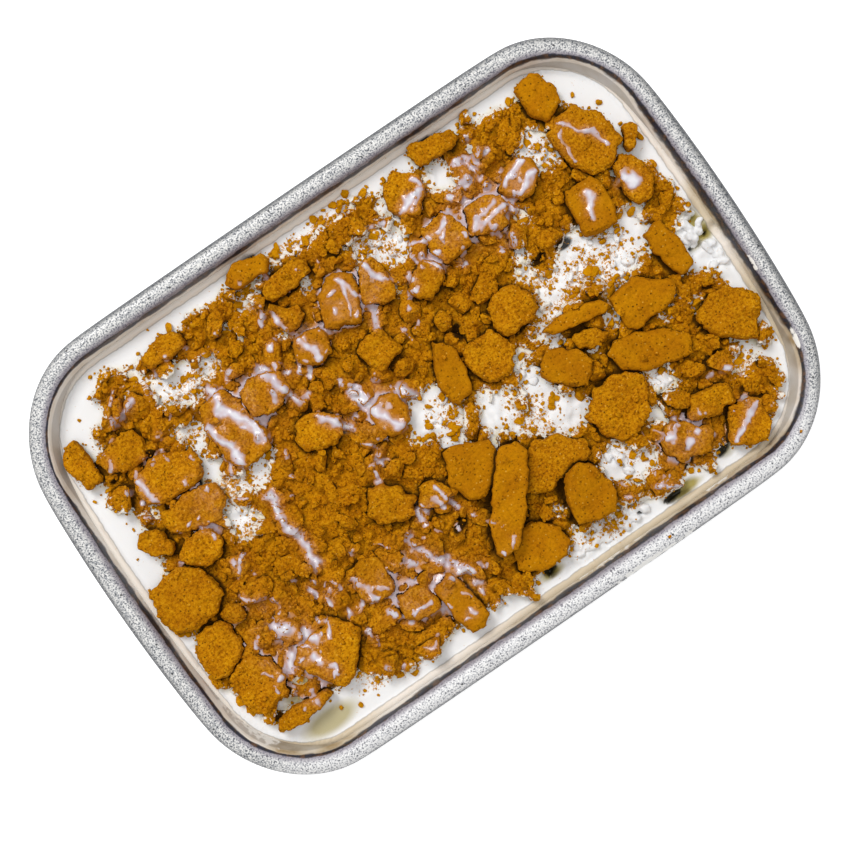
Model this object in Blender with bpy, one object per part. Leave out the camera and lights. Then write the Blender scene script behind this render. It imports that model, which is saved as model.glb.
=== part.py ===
"""Honey cake set in its baking tin: a coated steel tin with a broad rolled rim, cream up to
just under the rim, a bed of biscuit crumbs and lumps, and broken biscuits lying on the bed.
X runs along the tin, Y across it, Z up. The origin is under the tin's middle, on the table."""

import itertools
import math
import random
from collections import namedtuple

import bmesh
import bpy
from mathutils import Euler, Matrix, Vector, noise
from mathutils.bvhtree import BVHTree

MM = 0.001

# The tin, over its rim
TIN_LENGTH = 330 * MM
TIN_WIDTH = 228 * MM
TIN_HEIGHT = 50 * MM
CORNER_RADIUS = 52 * MM
END_BOW = 8 * MM
SIDE_BOW = 1.2 * MM
SHEET = 0.9 * MM
RIM_WIDTH = 10 * MM
RIM_RISE = 4 * MM
LIP_DROP = 2.6 * MM
WALL_DRAFT = 0.20
FLOOR_FILLET = 7 * MM

# The cake in it
GAP = 0.4 * MM
CREAM_LEVEL = 37 * MM
CREAM_CREEP = 1.2 * MM
CREEP_WIDTH = 3 * MM
BED_LEAST = 0.9 * MM
BED_MOST = 3.0 * MM
BED_CELL = 10 * MM
BED_MARGIN = 4 * MM
BED_SLOPE = 0.6
SKIRT = 6 * MM
BISCUIT = 6.8 * MM
MOST_TILT = 6

# How finely the round shapes are cut
CORNER_STEPS = 8
SIDE_STEPS = 6
CURL_STEPS = 5
UNDER_CURL_STEPS = 3
FILLET_STEPS = 2

# A broken biscuit: its middle, length and width in mm, the heading of its length in degrees,
# and how much it narrows towards its far end.
Shard = namedtuple("Shard", "x y length width heading taper", defaults=(0.0,))

SHARDS = [
    # Left end
    Shard(-142, 65, 23, 11, 91),
    Shard(-124, 59, 23, 14, 4, -0.2),
    Shard(-112, 40, 34, 19, -8, 0.1),
    Shard(-110.3, 21.5, 30, 18, -12),
    Shard(-133.8, 18.4, 18, 10, -50, 0.2),
    Shard(-118.5, 4.7, 20, 15.5, -10),
    Shard(-135.4, -9.4, 29, 27, 0, 0.05),
    Shard(-138, -36.4, 26, 20, 57),
    Shard(-132.5, -59.5, 25, 23, 105),
    Shard(-123, -81, 30, 8.5, -1),
    Shard(-96.5, -66, 30, 26, 25, 0.3),
    Shard(-83, 87, 21, 12, 8),
    Shard(-77, 41, 37, 22, 98, 0.1),
    Shard(-58, 46, 21, 18, -5),
    Shard(-64.5, -49, 21, 17, 80, 0.1),
    Shard(-53, -70, 18, 15.5, -20),
    # Middle
    Shard(-33, 95, 24, 10.5, -3, 0.1),
    Shard(-20, 83, 26, 9.5, 4),
    Shard(45, 85, 20, 19, 45),
    Shard(-28, 51, 18, 16.5, 0),
    Shard(-8.5, 61, 25, 19.5, 60, 0.1),
    Shard(11.5, 59, 23, 15, 75, 0.3),
    Shard(31, 47, 19, 15, 30),
    Shard(49.5, 57, 22, 18, 95),
    Shard(-4, 33, 17, 16, 20),
    Shard(-15.5, 6.5, 19, 16, 90),
    Shard(-46, 18.5, 23, 17, -20),
    Shard(17, 8, 29, 14, 78, 0.2),
    Shard(33.5, 3.7, 22, 21, 35),
    Shard(54, 13.5, 22, 19, 5),
    Shard(-38, -27, 22, 17, -40, 0.1),
    Shard(-20.5, -34, 17, 12, -25),
    Shard(-3.5, -34, 27, 24, 236, 0.2),
    Shard(-39.5, -81, 29, 14, 97),
    Shard(6.5, -80, 25, 23, -30, 0.1),
    # Right end
    Shard(66.5, 94, 24, 11, -12),
    Shard(69.5, 55.5, 20, 17, -20),
    Shard(91, 61, 20, 17, 25),
    Shard(125, 59.5, 33, 27, 108, 0.15),
    Shard(118.5, 86, 22, 17, 105, 0.05),
    Shard(112.5, 33.5, 26, 20, 80),
    Shard(133.5, 32.5, 22, 15, 92, 0.1),
    Shard(142, 49.5, 13, 7, 60),
    Shard(129.5, -2, 27, 12.5, 97),
    Shard(108, -14.5, 31, 20, -12, 0.45),
    Shard(99, -32, 38, 17.5, -22),
    Shard(136, -43, 30, 24, 140),
    Shard(78.5, -5.8, 34, 7, -10),
    Shard(77, -16, 17, 9, -20),
    Shard(72, -48, 32, 26, 20, 0.2),
    Shard(105, -69.5, 22, 14, -10),
    Shard(89.5, -76.5, 24, 17, -30),
    Shard(115.5, -86.5, 24, 21, 55),
    # On top
    Shard(61, -20.5, 24, 17, -45),
    Shard(32, -49.5, 22, 32, 90, 0.7),
    Shard(6.5, -54, 52, 16, 52, -0.1),
    Shard(37.5, -71, 26, 23, 75, 0.25),
]

# The last few lie on the others. Two biscuits further apart than this can't touch.
LYING_ON_OTHERS = 4
NEAR = 50 * MM
RISE = 0.5 * MM
RISES = 30

# Smaller lumps that show, fused into the bed: their middle, length and width in mm, heading
LUMPS = [
    (-106, 61, 14, 13, 10), (-116, 77, 17, 8, 30), (-122, 80, 11, 9, 60), (-107, 85, 11, 9, 20),
    (-132, 71, 10, 8, 40), (-94, 58, 12, 11, 0), (-101, 71, 15, 9, 0), (-139, 44, 10, 8, 30),
    (-133, 49, 11, 9, 60), (-130, 36, 11, 8, 10), (-111, -10, 14, 12, 30), (-70, 14, 14, 10, 20),
    (-120, -42, 16, 12, -20), (-108, -48, 13, 11, 0), (-112, -24, 15, 9, 20), (-92, -24, 15, 12, 0),
    (-62, 94, 16, 9, -8), (-57, 84, 16, 8, 45), (-44, 59, 14, 9, 56), (-31, 69, 13, 11, 20),
    (-40, 44, 13, 8, -10), (-30, 5, 14, 11, 60), (-70, -68, 18, 11, 5), (-79, -85, 13, 13, 30),
    (-58, -87, 19, 12, -3), (-29, -85, 17, 14, 40), (-10, -90, 13, 12, 60), (1, 87, 12, 10, 10),
    (16, 84, 19, 11, -5), (20, 52, 11, 9, 60), (1, 21, 13, 8, 0), (13, -16, 17, 8, 56),
    (84, 78, 15, 11, 10), (101, 95, 13, 10, 0), (106, 88, 13, 10, 40), (136, 14, 13, 10, 30),
    (96, 20, 10, 8, 0), (83, 2, 12, 8, -34), (61, 36, 18, 10, 10), (88, 31, 15, 10, -10),
    (92, -61, 13, 12, 30), (57, -58, 16, 10, -20), (53, -83, 13, 12, 0), (21, -89, 13, 8, 0),
    (142, -67, 12, 10, 55), (137, -80, 15, 11, 55), (95, -92, 16, 11, 20), (73, -93, 22, 9, -15),
    (120, -66, 14, 10, 0), (-47, -42, 13, 10, 0), (-34, -62, 13, 11, 40), (-80, -8, 16, 13, 0),
]

# Where the cream shows between the crumbs: an ellipse's middle, its two half-lengths, heading
BARE = [
    (-145, 88, 26, 20, 35), (-100, 99, 22, 7, 0), (-85, 69, 14, 5, 5), (-93, 49, 5, 4, 0),
    (-89, 22, 6, 10, 30), (-74, 25, 6, 5, 0), (-145, 22, 8, 28, 0), (-96, 3, 5, 7, 0),
    (-39, 85, 4, 8, -20), (-4, 97, 22, 5, 0), (30, 98, 24, 6, -4), (24, 72, 14, 7, -20),
    (145, 72, 10, 30, 0), (130, 96, 14, 8, -30), (107, 67, 5, 9, 10), (66, 81, 5, 5, 0),
    (103, 11, 20, 11, -12), (80, 12, 7, 8, 0), (120, 16, 7, 7, 0), (145, -12, 10, 17, 0),
    (121, -24, 8, 4, -25), (92, -46, 6, 6, -30), (64, 0, 9, 4, -25), (26, -22, 8, 10, 30),
    (42, -26, 9, 8, -35), (52, -40, 7, 7, -20), (2, -9, 11, 11, 0), (60, -72, 9, 8, -40),
    (80, -63, 7, 4, 40), (36, -93, 16, 7, 8), (-2, -97, 9, 4, 0), (-96, -93, 15, 9, -8),
    (-122, -93, 18, 7, -20), (-144, -24, 5, 4, 0), (130, -60, 5, 6, 0), (126, -97, 16, 5, 20),
]

# How the bed's lumps are spread: how many, how many places are tried, how close two may come as
# a share of their lengths, and how far the named ones sink and the small ones stand proud.
BED_LUMP_COUNT = 148
BED_TRIES = 4500
BED_SEED = 11
LUMP_SPACING = 0.46
LUMP_SINK = 2.2 * MM
LUMP_LEAN = 0.1
CHUNK_LIFT = 0.6 * MM
CHUNK_LEAN = 0.5
CHUNK_MOST = 11
CHUNK_LEAST = 5


def clear_scene():
    for obj in list(bpy.data.objects):
        bpy.data.objects.remove(obj)


def material(name, colour, roughness, metallic=0.0):
    made = bpy.data.materials.new(name)
    made.use_nodes = True
    shader = made.node_tree.nodes["Principled BSDF"]
    shader.inputs["Base Color"].default_value = (*colour, 1)
    shader.inputs["Roughness"].default_value = roughness
    shader.inputs["Metallic"].default_value = metallic
    return made


def new_object(name, mesh, finish):
    obj = bpy.data.objects.new(name, mesh)
    bpy.context.scene.collection.objects.link(obj)
    mesh.materials.append(finish)
    return obj


def outline(inset):
    """The tin's plan, this far in from the rim's edge: a rounded rectangle with bowed sides."""
    half_length = TIN_LENGTH / 2 - inset
    half_width = TIN_WIDTH / 2 - inset
    radius = max(CORNER_RADIUS - inset, min(CORNER_RADIUS / 3, half_width * 0.8))
    points = []
    for side_x, side_y, start in ((1, 1, 0), (-1, 1, 90), (-1, -1, 180), (1, -1, 270)):
        for step in range(CORNER_STEPS + 1):
            angle = math.radians(start + 90 * step / CORNER_STEPS)
            x = side_x * (half_length - radius) + radius * math.cos(angle)
            y = side_y * (half_width - radius) + radius * math.sin(angle)
            points.append(Vector((x, y)))
    full = []
    for index, here in enumerate(points):
        full.append(here)
        if index % (CORNER_STEPS + 1) == CORNER_STEPS:
            there = points[(index + 1) % len(points)]
            full += [here.lerp(there, step / SIDE_STEPS) for step in range(1, SIDE_STEPS)]
    for point in full:
        across, along = point.y / half_width, point.x / half_length
        point.x -= math.copysign(END_BOW * across**2 * along**4, along)
        point.y -= math.copysign(SIDE_BOW * along**2 * across**4, across)
    return full


def loft(name, rings, finish):
    """A solid through rings of points, each ring joined to the next, closed at both ends."""
    bm = bmesh.new()
    made = [[bm.verts.new(point) for point in ring] for ring in rings]
    for lower, upper in zip(made, made[1:]):
        for k in range(len(lower)):
            after = (k + 1) % len(lower)
            bm.faces.new((lower[k], lower[after], upper[after], upper[k]))
    bm.faces.new(reversed(made[0]))
    bm.faces.new(made[-1])
    bmesh.ops.triangulate(bm, faces=bm.faces)
    bmesh.ops.recalc_face_normals(bm, faces=bm.faces)
    mesh = bpy.data.meshes.new(name)
    bm.to_mesh(mesh)
    bm.free()
    return new_object(name, mesh, finish)


def fillet(foot, rise, run, steps):
    """The turn from the wall into the floor: insets and heights round a foot where they meet."""
    inset, height = foot
    bend = []
    for step in range(steps + 1):
        t = step / steps
        bend.append((inset - rise * WALL_DRAFT * (1 - t) ** 2 + run * t * t, height + rise * (1 - t) ** 2))
    return bend


def wall_foot(thickness, height):
    """Where the wall's inside, moved in by a thickness, would meet a floor at a height."""
    drop = TIN_HEIGHT - RIM_RISE - height
    return RIM_WIDTH + thickness + drop * WALL_DRAFT, height


def rim_curl(sheet, steps):
    """The rolled rim from its outer edge over the top to the wall; sheet is how far inside it."""
    half = RIM_WIDTH / 2
    base = TIN_HEIGHT - RIM_RISE
    curl = []
    for step in range(steps + 1):
        angle = math.pi * step / steps
        curl.append((half - (half - sheet) * math.cos(angle), base + (RIM_RISE - sheet) * math.sin(angle)))
    return curl


def baking_tin(finish):
    lip = TIN_HEIGHT - RIM_RISE - LIP_DROP
    inside = [(0.0, lip)] + rim_curl(0.0, CURL_STEPS)
    inside += fillet(wall_foot(0.0, SHEET), FLOOR_FILLET, FLOOR_FILLET, FILLET_STEPS)
    outside = [(SHEET, lip)] + rim_curl(SHEET, UNDER_CURL_STEPS)
    outside += fillet(wall_foot(-SHEET, 0.0), FLOOR_FILLET, FLOOR_FILLET, FILLET_STEPS)
    profile = list(reversed(outside)) + inside
    rings = [[Vector((*point, z)) for point in outline(inset)] for inset, z in profile]
    tin = loft("baking_tin", rings, finish)
    tin.data.shade_smooth()
    tin.data.set_sharp_from_angle(angle=math.radians(50))
    return tin


def ellipse_depth(x, y, ellipse):
    """Roughly how far inside an ellipse a place is, and below 0 outside it."""
    middle_x, middle_y, half_x, half_y, heading = ellipse
    turn = math.radians(heading)
    along = (x / MM - middle_x) * math.cos(turn) + (y / MM - middle_y) * math.sin(turn)
    across = (y / MM - middle_y) * math.cos(turn) - (x / MM - middle_x) * math.sin(turn)
    return (1 - math.hypot(along / half_x, across / half_y)) * min(half_x, half_y) * MM


def bareness(x, y):
    """How far inside a patch of bare cream a place is, and below 0 on the crumbs."""
    return max(ellipse_depth(x, y, ellipse) for ellipse in BARE)


def wall_distance(x, y):
    """Roughly how far a place lies inside the rim's outer edge."""
    half_length, half_width = TIN_LENGTH / 2, TIN_WIDTH / 2
    corner_x = abs(x) - (half_length - END_BOW * (y / half_width) ** 2 - CORNER_RADIUS)
    corner_y = abs(y) - (half_width - SIDE_BOW * (x / half_length) ** 2 - CORNER_RADIUS)
    outward = math.hypot(max(corner_x, 0), max(corner_y, 0)) + min(max(corner_x, corner_y), 0)
    return CORNER_RADIUS - outward


def cream_top(lift=0.0):
    """Rings of points over the cream: it creeps up a little at the tin's wall, and is flat inside."""
    edge = wall_foot(GAP, CREAM_LEVEL + CREAM_CREEP)[0]
    rings = []
    for inward, creep in ((0.0, CREAM_CREEP), (CREEP_WIDTH / 3, CREAM_CREEP / 3), (CREEP_WIDTH, 0.0)):
        rings.append([Vector((*point, CREAM_LEVEL + creep + lift)) for point in outline(edge + inward)])
    return rings


def honey_cake(finish):
    """The cake and its cream as one solid that fills the tin."""
    floor = SHEET + GAP
    rings = []
    for inset, z in reversed(fillet(wall_foot(GAP, floor), FLOOR_FILLET, FLOOR_FILLET, FILLET_STEPS)):
        rings.append([Vector((*point, z)) for point in outline(inset)])
    return loft("honey_cake", rings + cream_top(), finish)


def below_cream(finish):
    """A block that fills the tin to just above the cream, to cut the crumb bed level with it."""
    wide = outline(RIM_WIDTH)
    rings = [[Vector((*point, z)) for point in wide] for z in (0.0, CREAM_LEVEL + CREAM_CREEP + GAP)]
    return loft("below_cream", rings + cream_top(lift=GAP), finish)


def shard_mesh(shard, rng, corner_count):
    """A broken biscuit about its own middle, lying on Z 0, with its length along X."""
    height = BISCUIT * rng.uniform(0.95, 1.15) * (1.15 if shard.width < 9 else 1.0)
    square = rng.uniform(2.5, 3.4)
    corners = []
    for k in range(corner_count):
        angle = 2 * math.pi * (k + rng.uniform(-0.3, 0.3)) / corner_count
        c, s = math.cos(angle), math.sin(angle)
        reach = (abs(c) ** square + abs(s) ** square) ** (-1 / square) * rng.uniform(0.93, 1.07)
        narrow = 1 - shard.taper * reach * c
        corners.append(Vector((shard.length * reach * c, shard.width * reach * s * narrow, 0)) * MM / 2)
    bm = bmesh.new()
    rings = []
    for scale, rise, sink in ((0.86, 0.0, 0.0), (1.0, 0.3, 0.06), (0.99, 0.8, 0.08), (0.88, 1.0, 0.1)):
        ring = []
        for corner in corners:
            level = height * (rise - sink * rng.random())
            ring.append(bm.verts.new(corner * scale * rng.uniform(0.96, 1.02) + Vector((0, 0, level))))
        rings.append(ring)
    for lower, upper in zip(rings, rings[1:]):
        for k in range(corner_count):
            after = (k + 1) % corner_count
            bm.faces.new((lower[k], lower[after], upper[after], upper[k]))
    bm.faces.new(reversed(rings[0]))
    bm.faces.new(rings[-1])
    bmesh.ops.triangulate(bm, faces=bm.faces)
    bmesh.ops.recalc_face_normals(bm, faces=bm.faces)
    mesh = bpy.data.meshes.new("biscuit")
    bm.to_mesh(mesh)
    bm.free()
    return mesh


def tree_of(mesh, matrix):
    return BVHTree.FromPolygons([matrix @ v.co for v in mesh.vertices], [p.vertices for p in mesh.polygons])


def grown(mesh, matrix, gap):
    """The same mesh pushed out along its normals, to keep a gap round it."""
    points = [matrix @ (v.co + v.normal * gap) for v in mesh.vertices]
    return BVHTree.FromPolygons(points, [p.vertices for p in mesh.polygons])


def settle(shard, mesh, rng, placed, nudges):
    """Where a biscuit comes to rest, nudged aside or raised until it is clear of those before it."""
    tilt = math.radians(MOST_TILT * min(1, 18 / shard.length, shard.width / 18))
    turn = Euler((rng.uniform(-tilt, tilt), rng.uniform(-tilt, tilt), 0)).to_matrix()
    turn = (Matrix.Rotation(math.radians(shard.heading), 3, "Z") @ turn).to_4x4()
    bed = GAP + BED_LEAST if bareness(shard.x * MM, shard.y * MM) < 0 else 0.0
    lowest = min((turn @ v.co).z for v in mesh.vertices)
    start = Vector((shard.x * MM, shard.y * MM, CREAM_LEVEL + GAP + bed - lowest))
    near = [tree for middle, tree in placed if (middle - start.xy).length < NEAR]
    for rise, nudge in itertools.product(range(RISES), nudges):
        place = start + nudge + Vector((0, 0, rise * RISE))
        outer = grown(mesh, Matrix.Translation(place) @ turn, GAP)
        if not any(outer.overlap(tree) for tree in near):
            return Matrix.Translation(place) @ turn
    raise ValueError("no room for " + str(shard))


def broken_biscuits(tin, finish):
    """The biscuits in the order they fell: most nudge into place, the last lie where they fell."""
    nudges = [Vector((0, 0, 0))]
    for reach in (0.8, 1.6, 2.4, 3.2, 4.0):
        for turn in range(12):
            nudges.append(Matrix.Rotation(math.radians(30 * turn), 3, "Z") @ Vector((reach * MM, 0, 0)))
    wall = tree_of(tin.data, tin.matrix_world)
    placed, biscuits = [], []
    for index, shard in enumerate(SHARDS):
        rng = random.Random(index)
        mesh = shard_mesh(shard, rng, 10 if shard.length * shard.width > 300 else 8)
        on_others = index >= len(SHARDS) - LYING_ON_OTHERS
        here = Vector((shard.x * MM, shard.y * MM))
        matrix = settle(shard, mesh, rng, placed + [(here, wall)], nudges[:1] if on_others else nudges)
        placed.append((matrix.translation.xy, tree_of(mesh, matrix)))
        biscuit = new_object(f"biscuit_{index + 1:02d}", mesh, finish)
        biscuit.matrix_world = matrix
        biscuits.append(biscuit)
    return biscuits


def bed_height(x, y, biscuits):
    """The crumb bed's top: in drifts, thin under a biscuit, and below the cream where that shows."""
    drift = 0.5 + 0.5 * noise.noise(Vector((x, y, 2)) * 70)
    thick = BED_LEAST + (BED_MOST - BED_LEAST) * drift
    for low, middle, reach in biscuits:
        if (Vector((x, y)) - middle).length < reach:
            thick = min(thick, low - 2 * GAP - CREAM_LEVEL)
    cream_edge = RIM_WIDTH + (TIN_HEIGHT - RIM_RISE - CREAM_LEVEL) * WALL_DRAFT
    inside = min(wall_distance(x, y) - cream_edge - BED_MARGIN, -bareness(x, y))
    return CREAM_LEVEL + GAP + max(-SKIRT, min(thick, BED_SLOPE * inside))


def bed_core(biscuits, finish):
    """A slab under the whole topping, whose top dips below the cream wherever that shows."""
    reaches = []
    for biscuit in biscuits:
        points = [biscuit.matrix_world @ v.co for v in biscuit.data.vertices]
        middle = sum((p.xy for p in points), Vector((0, 0))) / len(points)
        reach = max((p.xy - middle).length for p in points) + BED_CELL
        reaches.append((min(p.z for p in points), middle, reach))
    columns = round((TIN_LENGTH - 2.4 * RIM_WIDTH) / BED_CELL)
    rows = round((TIN_WIDTH - 2.4 * RIM_WIDTH) / BED_CELL)
    bm = bmesh.new()
    grid = []
    for i in range(columns + 1):
        x = (i - columns / 2) * BED_CELL
        grid.append([])
        for j in range(rows + 1):
            y = (j - rows / 2) * BED_CELL
            grid[-1].append(bm.verts.new((x, y, bed_height(x, y, reaches))))
    top = []
    for i in range(columns):
        for j in range(rows):
            top.append(bm.faces.new((grid[i][j], grid[i + 1][j], grid[i + 1][j + 1], grid[i][j + 1])))
    skirt = bmesh.ops.extrude_face_region(bm, geom=top)["geom"]
    for element in skirt:
        if isinstance(element, bmesh.types.BMVert):
            element.co.z = CREAM_LEVEL - 2 * SKIRT
    bmesh.ops.triangulate(bm, faces=bm.faces)
    bmesh.ops.recalc_face_normals(bm, faces=bm.faces)
    mesh = bpy.data.meshes.new("crumb_bed")
    bm.to_mesh(mesh)
    bm.free()
    return new_object("crumb_bed", mesh, finish)


def chunk_mesh(length, width, height, rng):
    """A small broken corner of biscuit: a box with every corner knocked about."""
    bm = bmesh.new()
    bmesh.ops.create_cube(bm, size=1.0)
    for vert in bm.verts:
        vert.co *= rng.uniform(0.8, 1.1) * (0.8 if vert.co.z > 0 else 1.0)
        vert.co = Vector((vert.co.x * length, vert.co.y * width, vert.co.z * height))
    bmesh.ops.triangulate(bm, faces=bm.faces)
    mesh = bpy.data.meshes.new("chunk")
    bm.to_mesh(mesh)
    bm.free()
    return mesh


def boolean(target, operation, others):
    """Joins the others to the target, or cuts them out of it, and takes them out of the scene."""
    group = bpy.data.collections.new("others")
    bpy.context.scene.collection.children.link(group)
    for other in others:
        group.objects.link(other)
    modifier = target.modifiers.new("boolean", "BOOLEAN")
    modifier.operation = operation
    modifier.operand_type = "COLLECTION"
    modifier.collection = group
    modifier.solver = "MANIFOLD"
    bpy.context.view_layer.objects.active = target
    bpy.ops.object.modifier_apply(modifier=modifier.name)
    for other in others:
        bpy.data.objects.remove(other)
    bpy.data.collections.remove(group)


def bed_lumps(core, biscuits, tin):
    """Lumps sunk in the bed where no biscuit lies: the ones that show most, then a seeded fill."""
    rng = random.Random(BED_SEED)
    obstacles = [tree_of(obj.data, obj.matrix_world) for obj in biscuits + [tin]]
    ground = tree_of(core.data, core.matrix_world)
    spots = list(LUMPS)
    for tried in range(BED_TRIES):
        x = rng.uniform(-0.5, 0.5) * (TIN_LENGTH - 3 * RIM_WIDTH) / MM
        y = rng.uniform(-0.5, 0.5) * (TIN_WIDTH - 3 * RIM_WIDTH) / MM
        size = CHUNK_MOST + (CHUNK_LEAST - CHUNK_MOST) * tried / BED_TRIES
        spots.append((x, y, size, size * rng.uniform(0.7, 0.9), rng.uniform(0, 360)))
    lumps = []
    taken = []
    for index, (x, y, length, width, heading) in enumerate(spots):
        if len(lumps) == BED_LUMP_COUNT:
            break
        hit = ground.ray_cast(Vector((x * MM, y * MM, TIN_HEIGHT)), Vector((0, 0, -1)))[0]
        if hit is None or hit.z < CREAM_LEVEL + GAP + BED_LEAST / 3:
            continue
        if any(math.hypot(x - a, y - b) < LUMP_SPACING * (length + size) for a, b, size in taken):
            continue
        if index < len(LUMPS):
            mesh = shard_mesh(Shard(x, y, length, width, 0), rng, 6)
            lift, lean = -LUMP_SINK, LUMP_LEAN
        else:
            mesh = chunk_mesh(length * MM, width * MM, max(0.8 * width, CHUNK_LEAST) * MM, rng)
            lift, lean = CHUNK_LIFT, CHUNK_LEAN
        turn = Euler((rng.uniform(-lean, lean), rng.uniform(-lean, lean), math.radians(heading)))
        matrix = Matrix.Translation((x * MM, y * MM, hit.z + lift)) @ turn.to_matrix().to_4x4()
        if any(grown(mesh, matrix, 1.5 * GAP).overlap(tree) for tree in obstacles):
            continue
        lump = bpy.data.objects.new("lump", mesh)
        lump.matrix_world = matrix
        lumps.append(lump)
        taken.append((x, y, length))
    return lumps


def keep_largest(obj):
    """Drops the scraps that the cut leaves lying apart from the bed."""
    bm = bmesh.new()
    bm.from_mesh(obj.data)
    left, pieces = set(bm.verts), []
    while left:
        piece = {left.pop()}
        front = list(piece)
        while front:
            found = {edge.other_vert(vert) for vert in front for edge in vert.link_edges} - piece
            piece |= found
            front = list(found)
        left -= piece
        pieces.append(piece)
    pieces.sort(key=len)
    for piece in pieces[:-1]:
        bmesh.ops.delete(bm, geom=list(piece), context="VERTS")
    bmesh.ops.triangulate(bm, faces=bm.faces)
    bm.to_mesh(obj.data)
    bm.free()


def main():
    clear_scene()
    coating = material("speckled_coating", (0.62, 0.62, 0.64), 0.45, 0.2)
    cream = material("whipped_cream", (0.93, 0.92, 0.86), 0.5)
    crumb = material("honey_biscuit_crumb", (0.48, 0.22, 0.02), 0.85)
    baked = material("honey_biscuit", (0.50, 0.23, 0.02), 0.8)
    tin = baking_tin(coating)
    honey_cake(cream)
    biscuits = broken_biscuits(tin, baked)
    bed = bed_core(biscuits, crumb)
    boolean(bed, "UNION", bed_lumps(bed, biscuits, tin))
    boolean(bed, "DIFFERENCE", [below_cream(crumb)])
    keep_largest(bed)


main()
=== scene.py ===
# %% [markdown]
# # A honey cake in its baking tin
#
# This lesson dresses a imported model: a speckled baking tin filled with white cream, under a
# rubble of broken ginger biscuits, crumbs and a thin milky drizzle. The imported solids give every
# place and size, and each cell below gives one of them its finished surface.

import math

import bmesh
import bpy
import numpy as np
from mathutils import Matrix, Vector


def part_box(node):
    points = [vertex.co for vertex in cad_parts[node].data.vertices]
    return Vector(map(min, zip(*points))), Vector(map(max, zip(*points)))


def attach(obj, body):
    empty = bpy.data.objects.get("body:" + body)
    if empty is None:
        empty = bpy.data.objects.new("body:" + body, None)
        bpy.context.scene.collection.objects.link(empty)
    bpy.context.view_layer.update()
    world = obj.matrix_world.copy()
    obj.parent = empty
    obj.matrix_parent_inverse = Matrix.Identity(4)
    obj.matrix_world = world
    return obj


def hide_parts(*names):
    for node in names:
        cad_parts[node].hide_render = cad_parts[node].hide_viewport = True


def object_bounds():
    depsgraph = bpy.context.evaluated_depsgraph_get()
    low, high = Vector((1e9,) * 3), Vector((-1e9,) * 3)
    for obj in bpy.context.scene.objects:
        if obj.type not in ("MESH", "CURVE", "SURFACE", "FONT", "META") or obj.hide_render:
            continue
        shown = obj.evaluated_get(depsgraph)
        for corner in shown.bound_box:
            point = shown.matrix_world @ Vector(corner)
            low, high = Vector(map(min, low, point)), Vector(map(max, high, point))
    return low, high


MM = 0.001
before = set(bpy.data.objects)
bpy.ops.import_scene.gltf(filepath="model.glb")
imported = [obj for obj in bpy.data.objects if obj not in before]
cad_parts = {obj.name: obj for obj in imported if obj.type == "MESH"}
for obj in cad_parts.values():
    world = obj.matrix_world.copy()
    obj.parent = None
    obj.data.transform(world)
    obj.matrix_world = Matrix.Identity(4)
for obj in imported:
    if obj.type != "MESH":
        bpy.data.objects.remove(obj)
cad_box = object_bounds()
print("nodes:", len(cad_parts), "box:", [tuple(round(v / MM, 1) for v in c) for c in cad_box])

# %% [markdown]
# ## Small tools
#
# The same few moves come back on every piece: select it alone, apply a modifier, read and write
# its points, and paint a number on each point that a material can read later. A copy of a CAD
# node is loose triangles, so its doubles are merged before anything else is done to it.

# %% Selecting, modifying and copying
def select_only(obj):
    bpy.ops.object.select_all(action="DESELECT")
    obj.select_set(True)
    bpy.context.view_layer.objects.active = obj


def modify(obj, kind, **settings):
    """Adds a modifier, sets it and applies it at once."""
    modifier = obj.modifiers.new(kind, kind)
    for name, value in settings.items():
        setattr(modifier, name, value)
    select_only(obj)
    bpy.ops.object.modifier_apply(modifier=modifier.name)


def copy_of(node, name):
    """A merged copy of a CAD node that can be reshaped."""
    obj = bpy.data.objects.new(name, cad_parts[node].data.copy())
    bpy.context.scene.collection.objects.link(obj)
    obj.data.materials.clear()
    select_only(obj)
    bpy.ops.mesh.customdata_custom_splitnormals_clear()
    bpy.ops.object.mode_set(mode="EDIT")
    bpy.ops.mesh.select_all(action="SELECT")
    bpy.ops.mesh.remove_doubles(threshold=1e-5)
    bpy.ops.object.mode_set(mode="OBJECT")
    return obj


def points_of(obj):
    """The object's points in millimetres."""
    flat = np.empty(len(obj.data.vertices) * 3)
    obj.data.vertices.foreach_get("co", flat)
    return flat.reshape(-1, 3) / MM


def move_points(obj, points):
    obj.data.vertices.foreach_set("co", (points * MM).ravel())
    obj.data.update()


def paint(obj, name, values):
    """Stores one number on each point, under a name that a material can read."""
    layer = obj.data.attributes.new(name, "FLOAT", "POINT")
    layer.data.foreach_set("value", np.ascontiguousarray(values, np.float32))


def shade_soft(obj):
    select_only(obj)
    bpy.ops.object.shade_smooth()


def triangles_in(obj):
    return sum(len(face.vertices) - 2 for face in obj.data.polygons)


# %% Random hills
def hills(x, y, size, seed):
    """A smooth random field from -1 to 1 with bumps about this many millimetres across."""
    grid = np.random.default_rng(seed).uniform(-1, 1, (601, 601))
    u, v = np.asarray(x) / size + 300, np.asarray(y) / size + 300
    i, j = np.floor(u).astype(int) % 600, np.floor(v).astype(int) % 600
    a, b = u - np.floor(u), v - np.floor(v)
    a, b = a * a * (3 - 2 * a), b * b * (3 - 2 * b)
    low = grid[i, j] * (1 - a) + grid[i + 1, j] * a
    high = grid[i, j + 1] * (1 - a) + grid[i + 1, j + 1] * a
    return low * (1 - b) + high * b


# %% [markdown]
# ## Materials by node
#
# One function adds a node with its settings and its links, and one turns a hex colour from a
# screen into the linear numbers that a shader takes. Shorter ones call it for the few kinds of
# node that come back in every material. Every pattern reads Object coordinates, which are metres
# here, so a scale of 1 / 0.002 makes a pattern about 2 mm wide.

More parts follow.
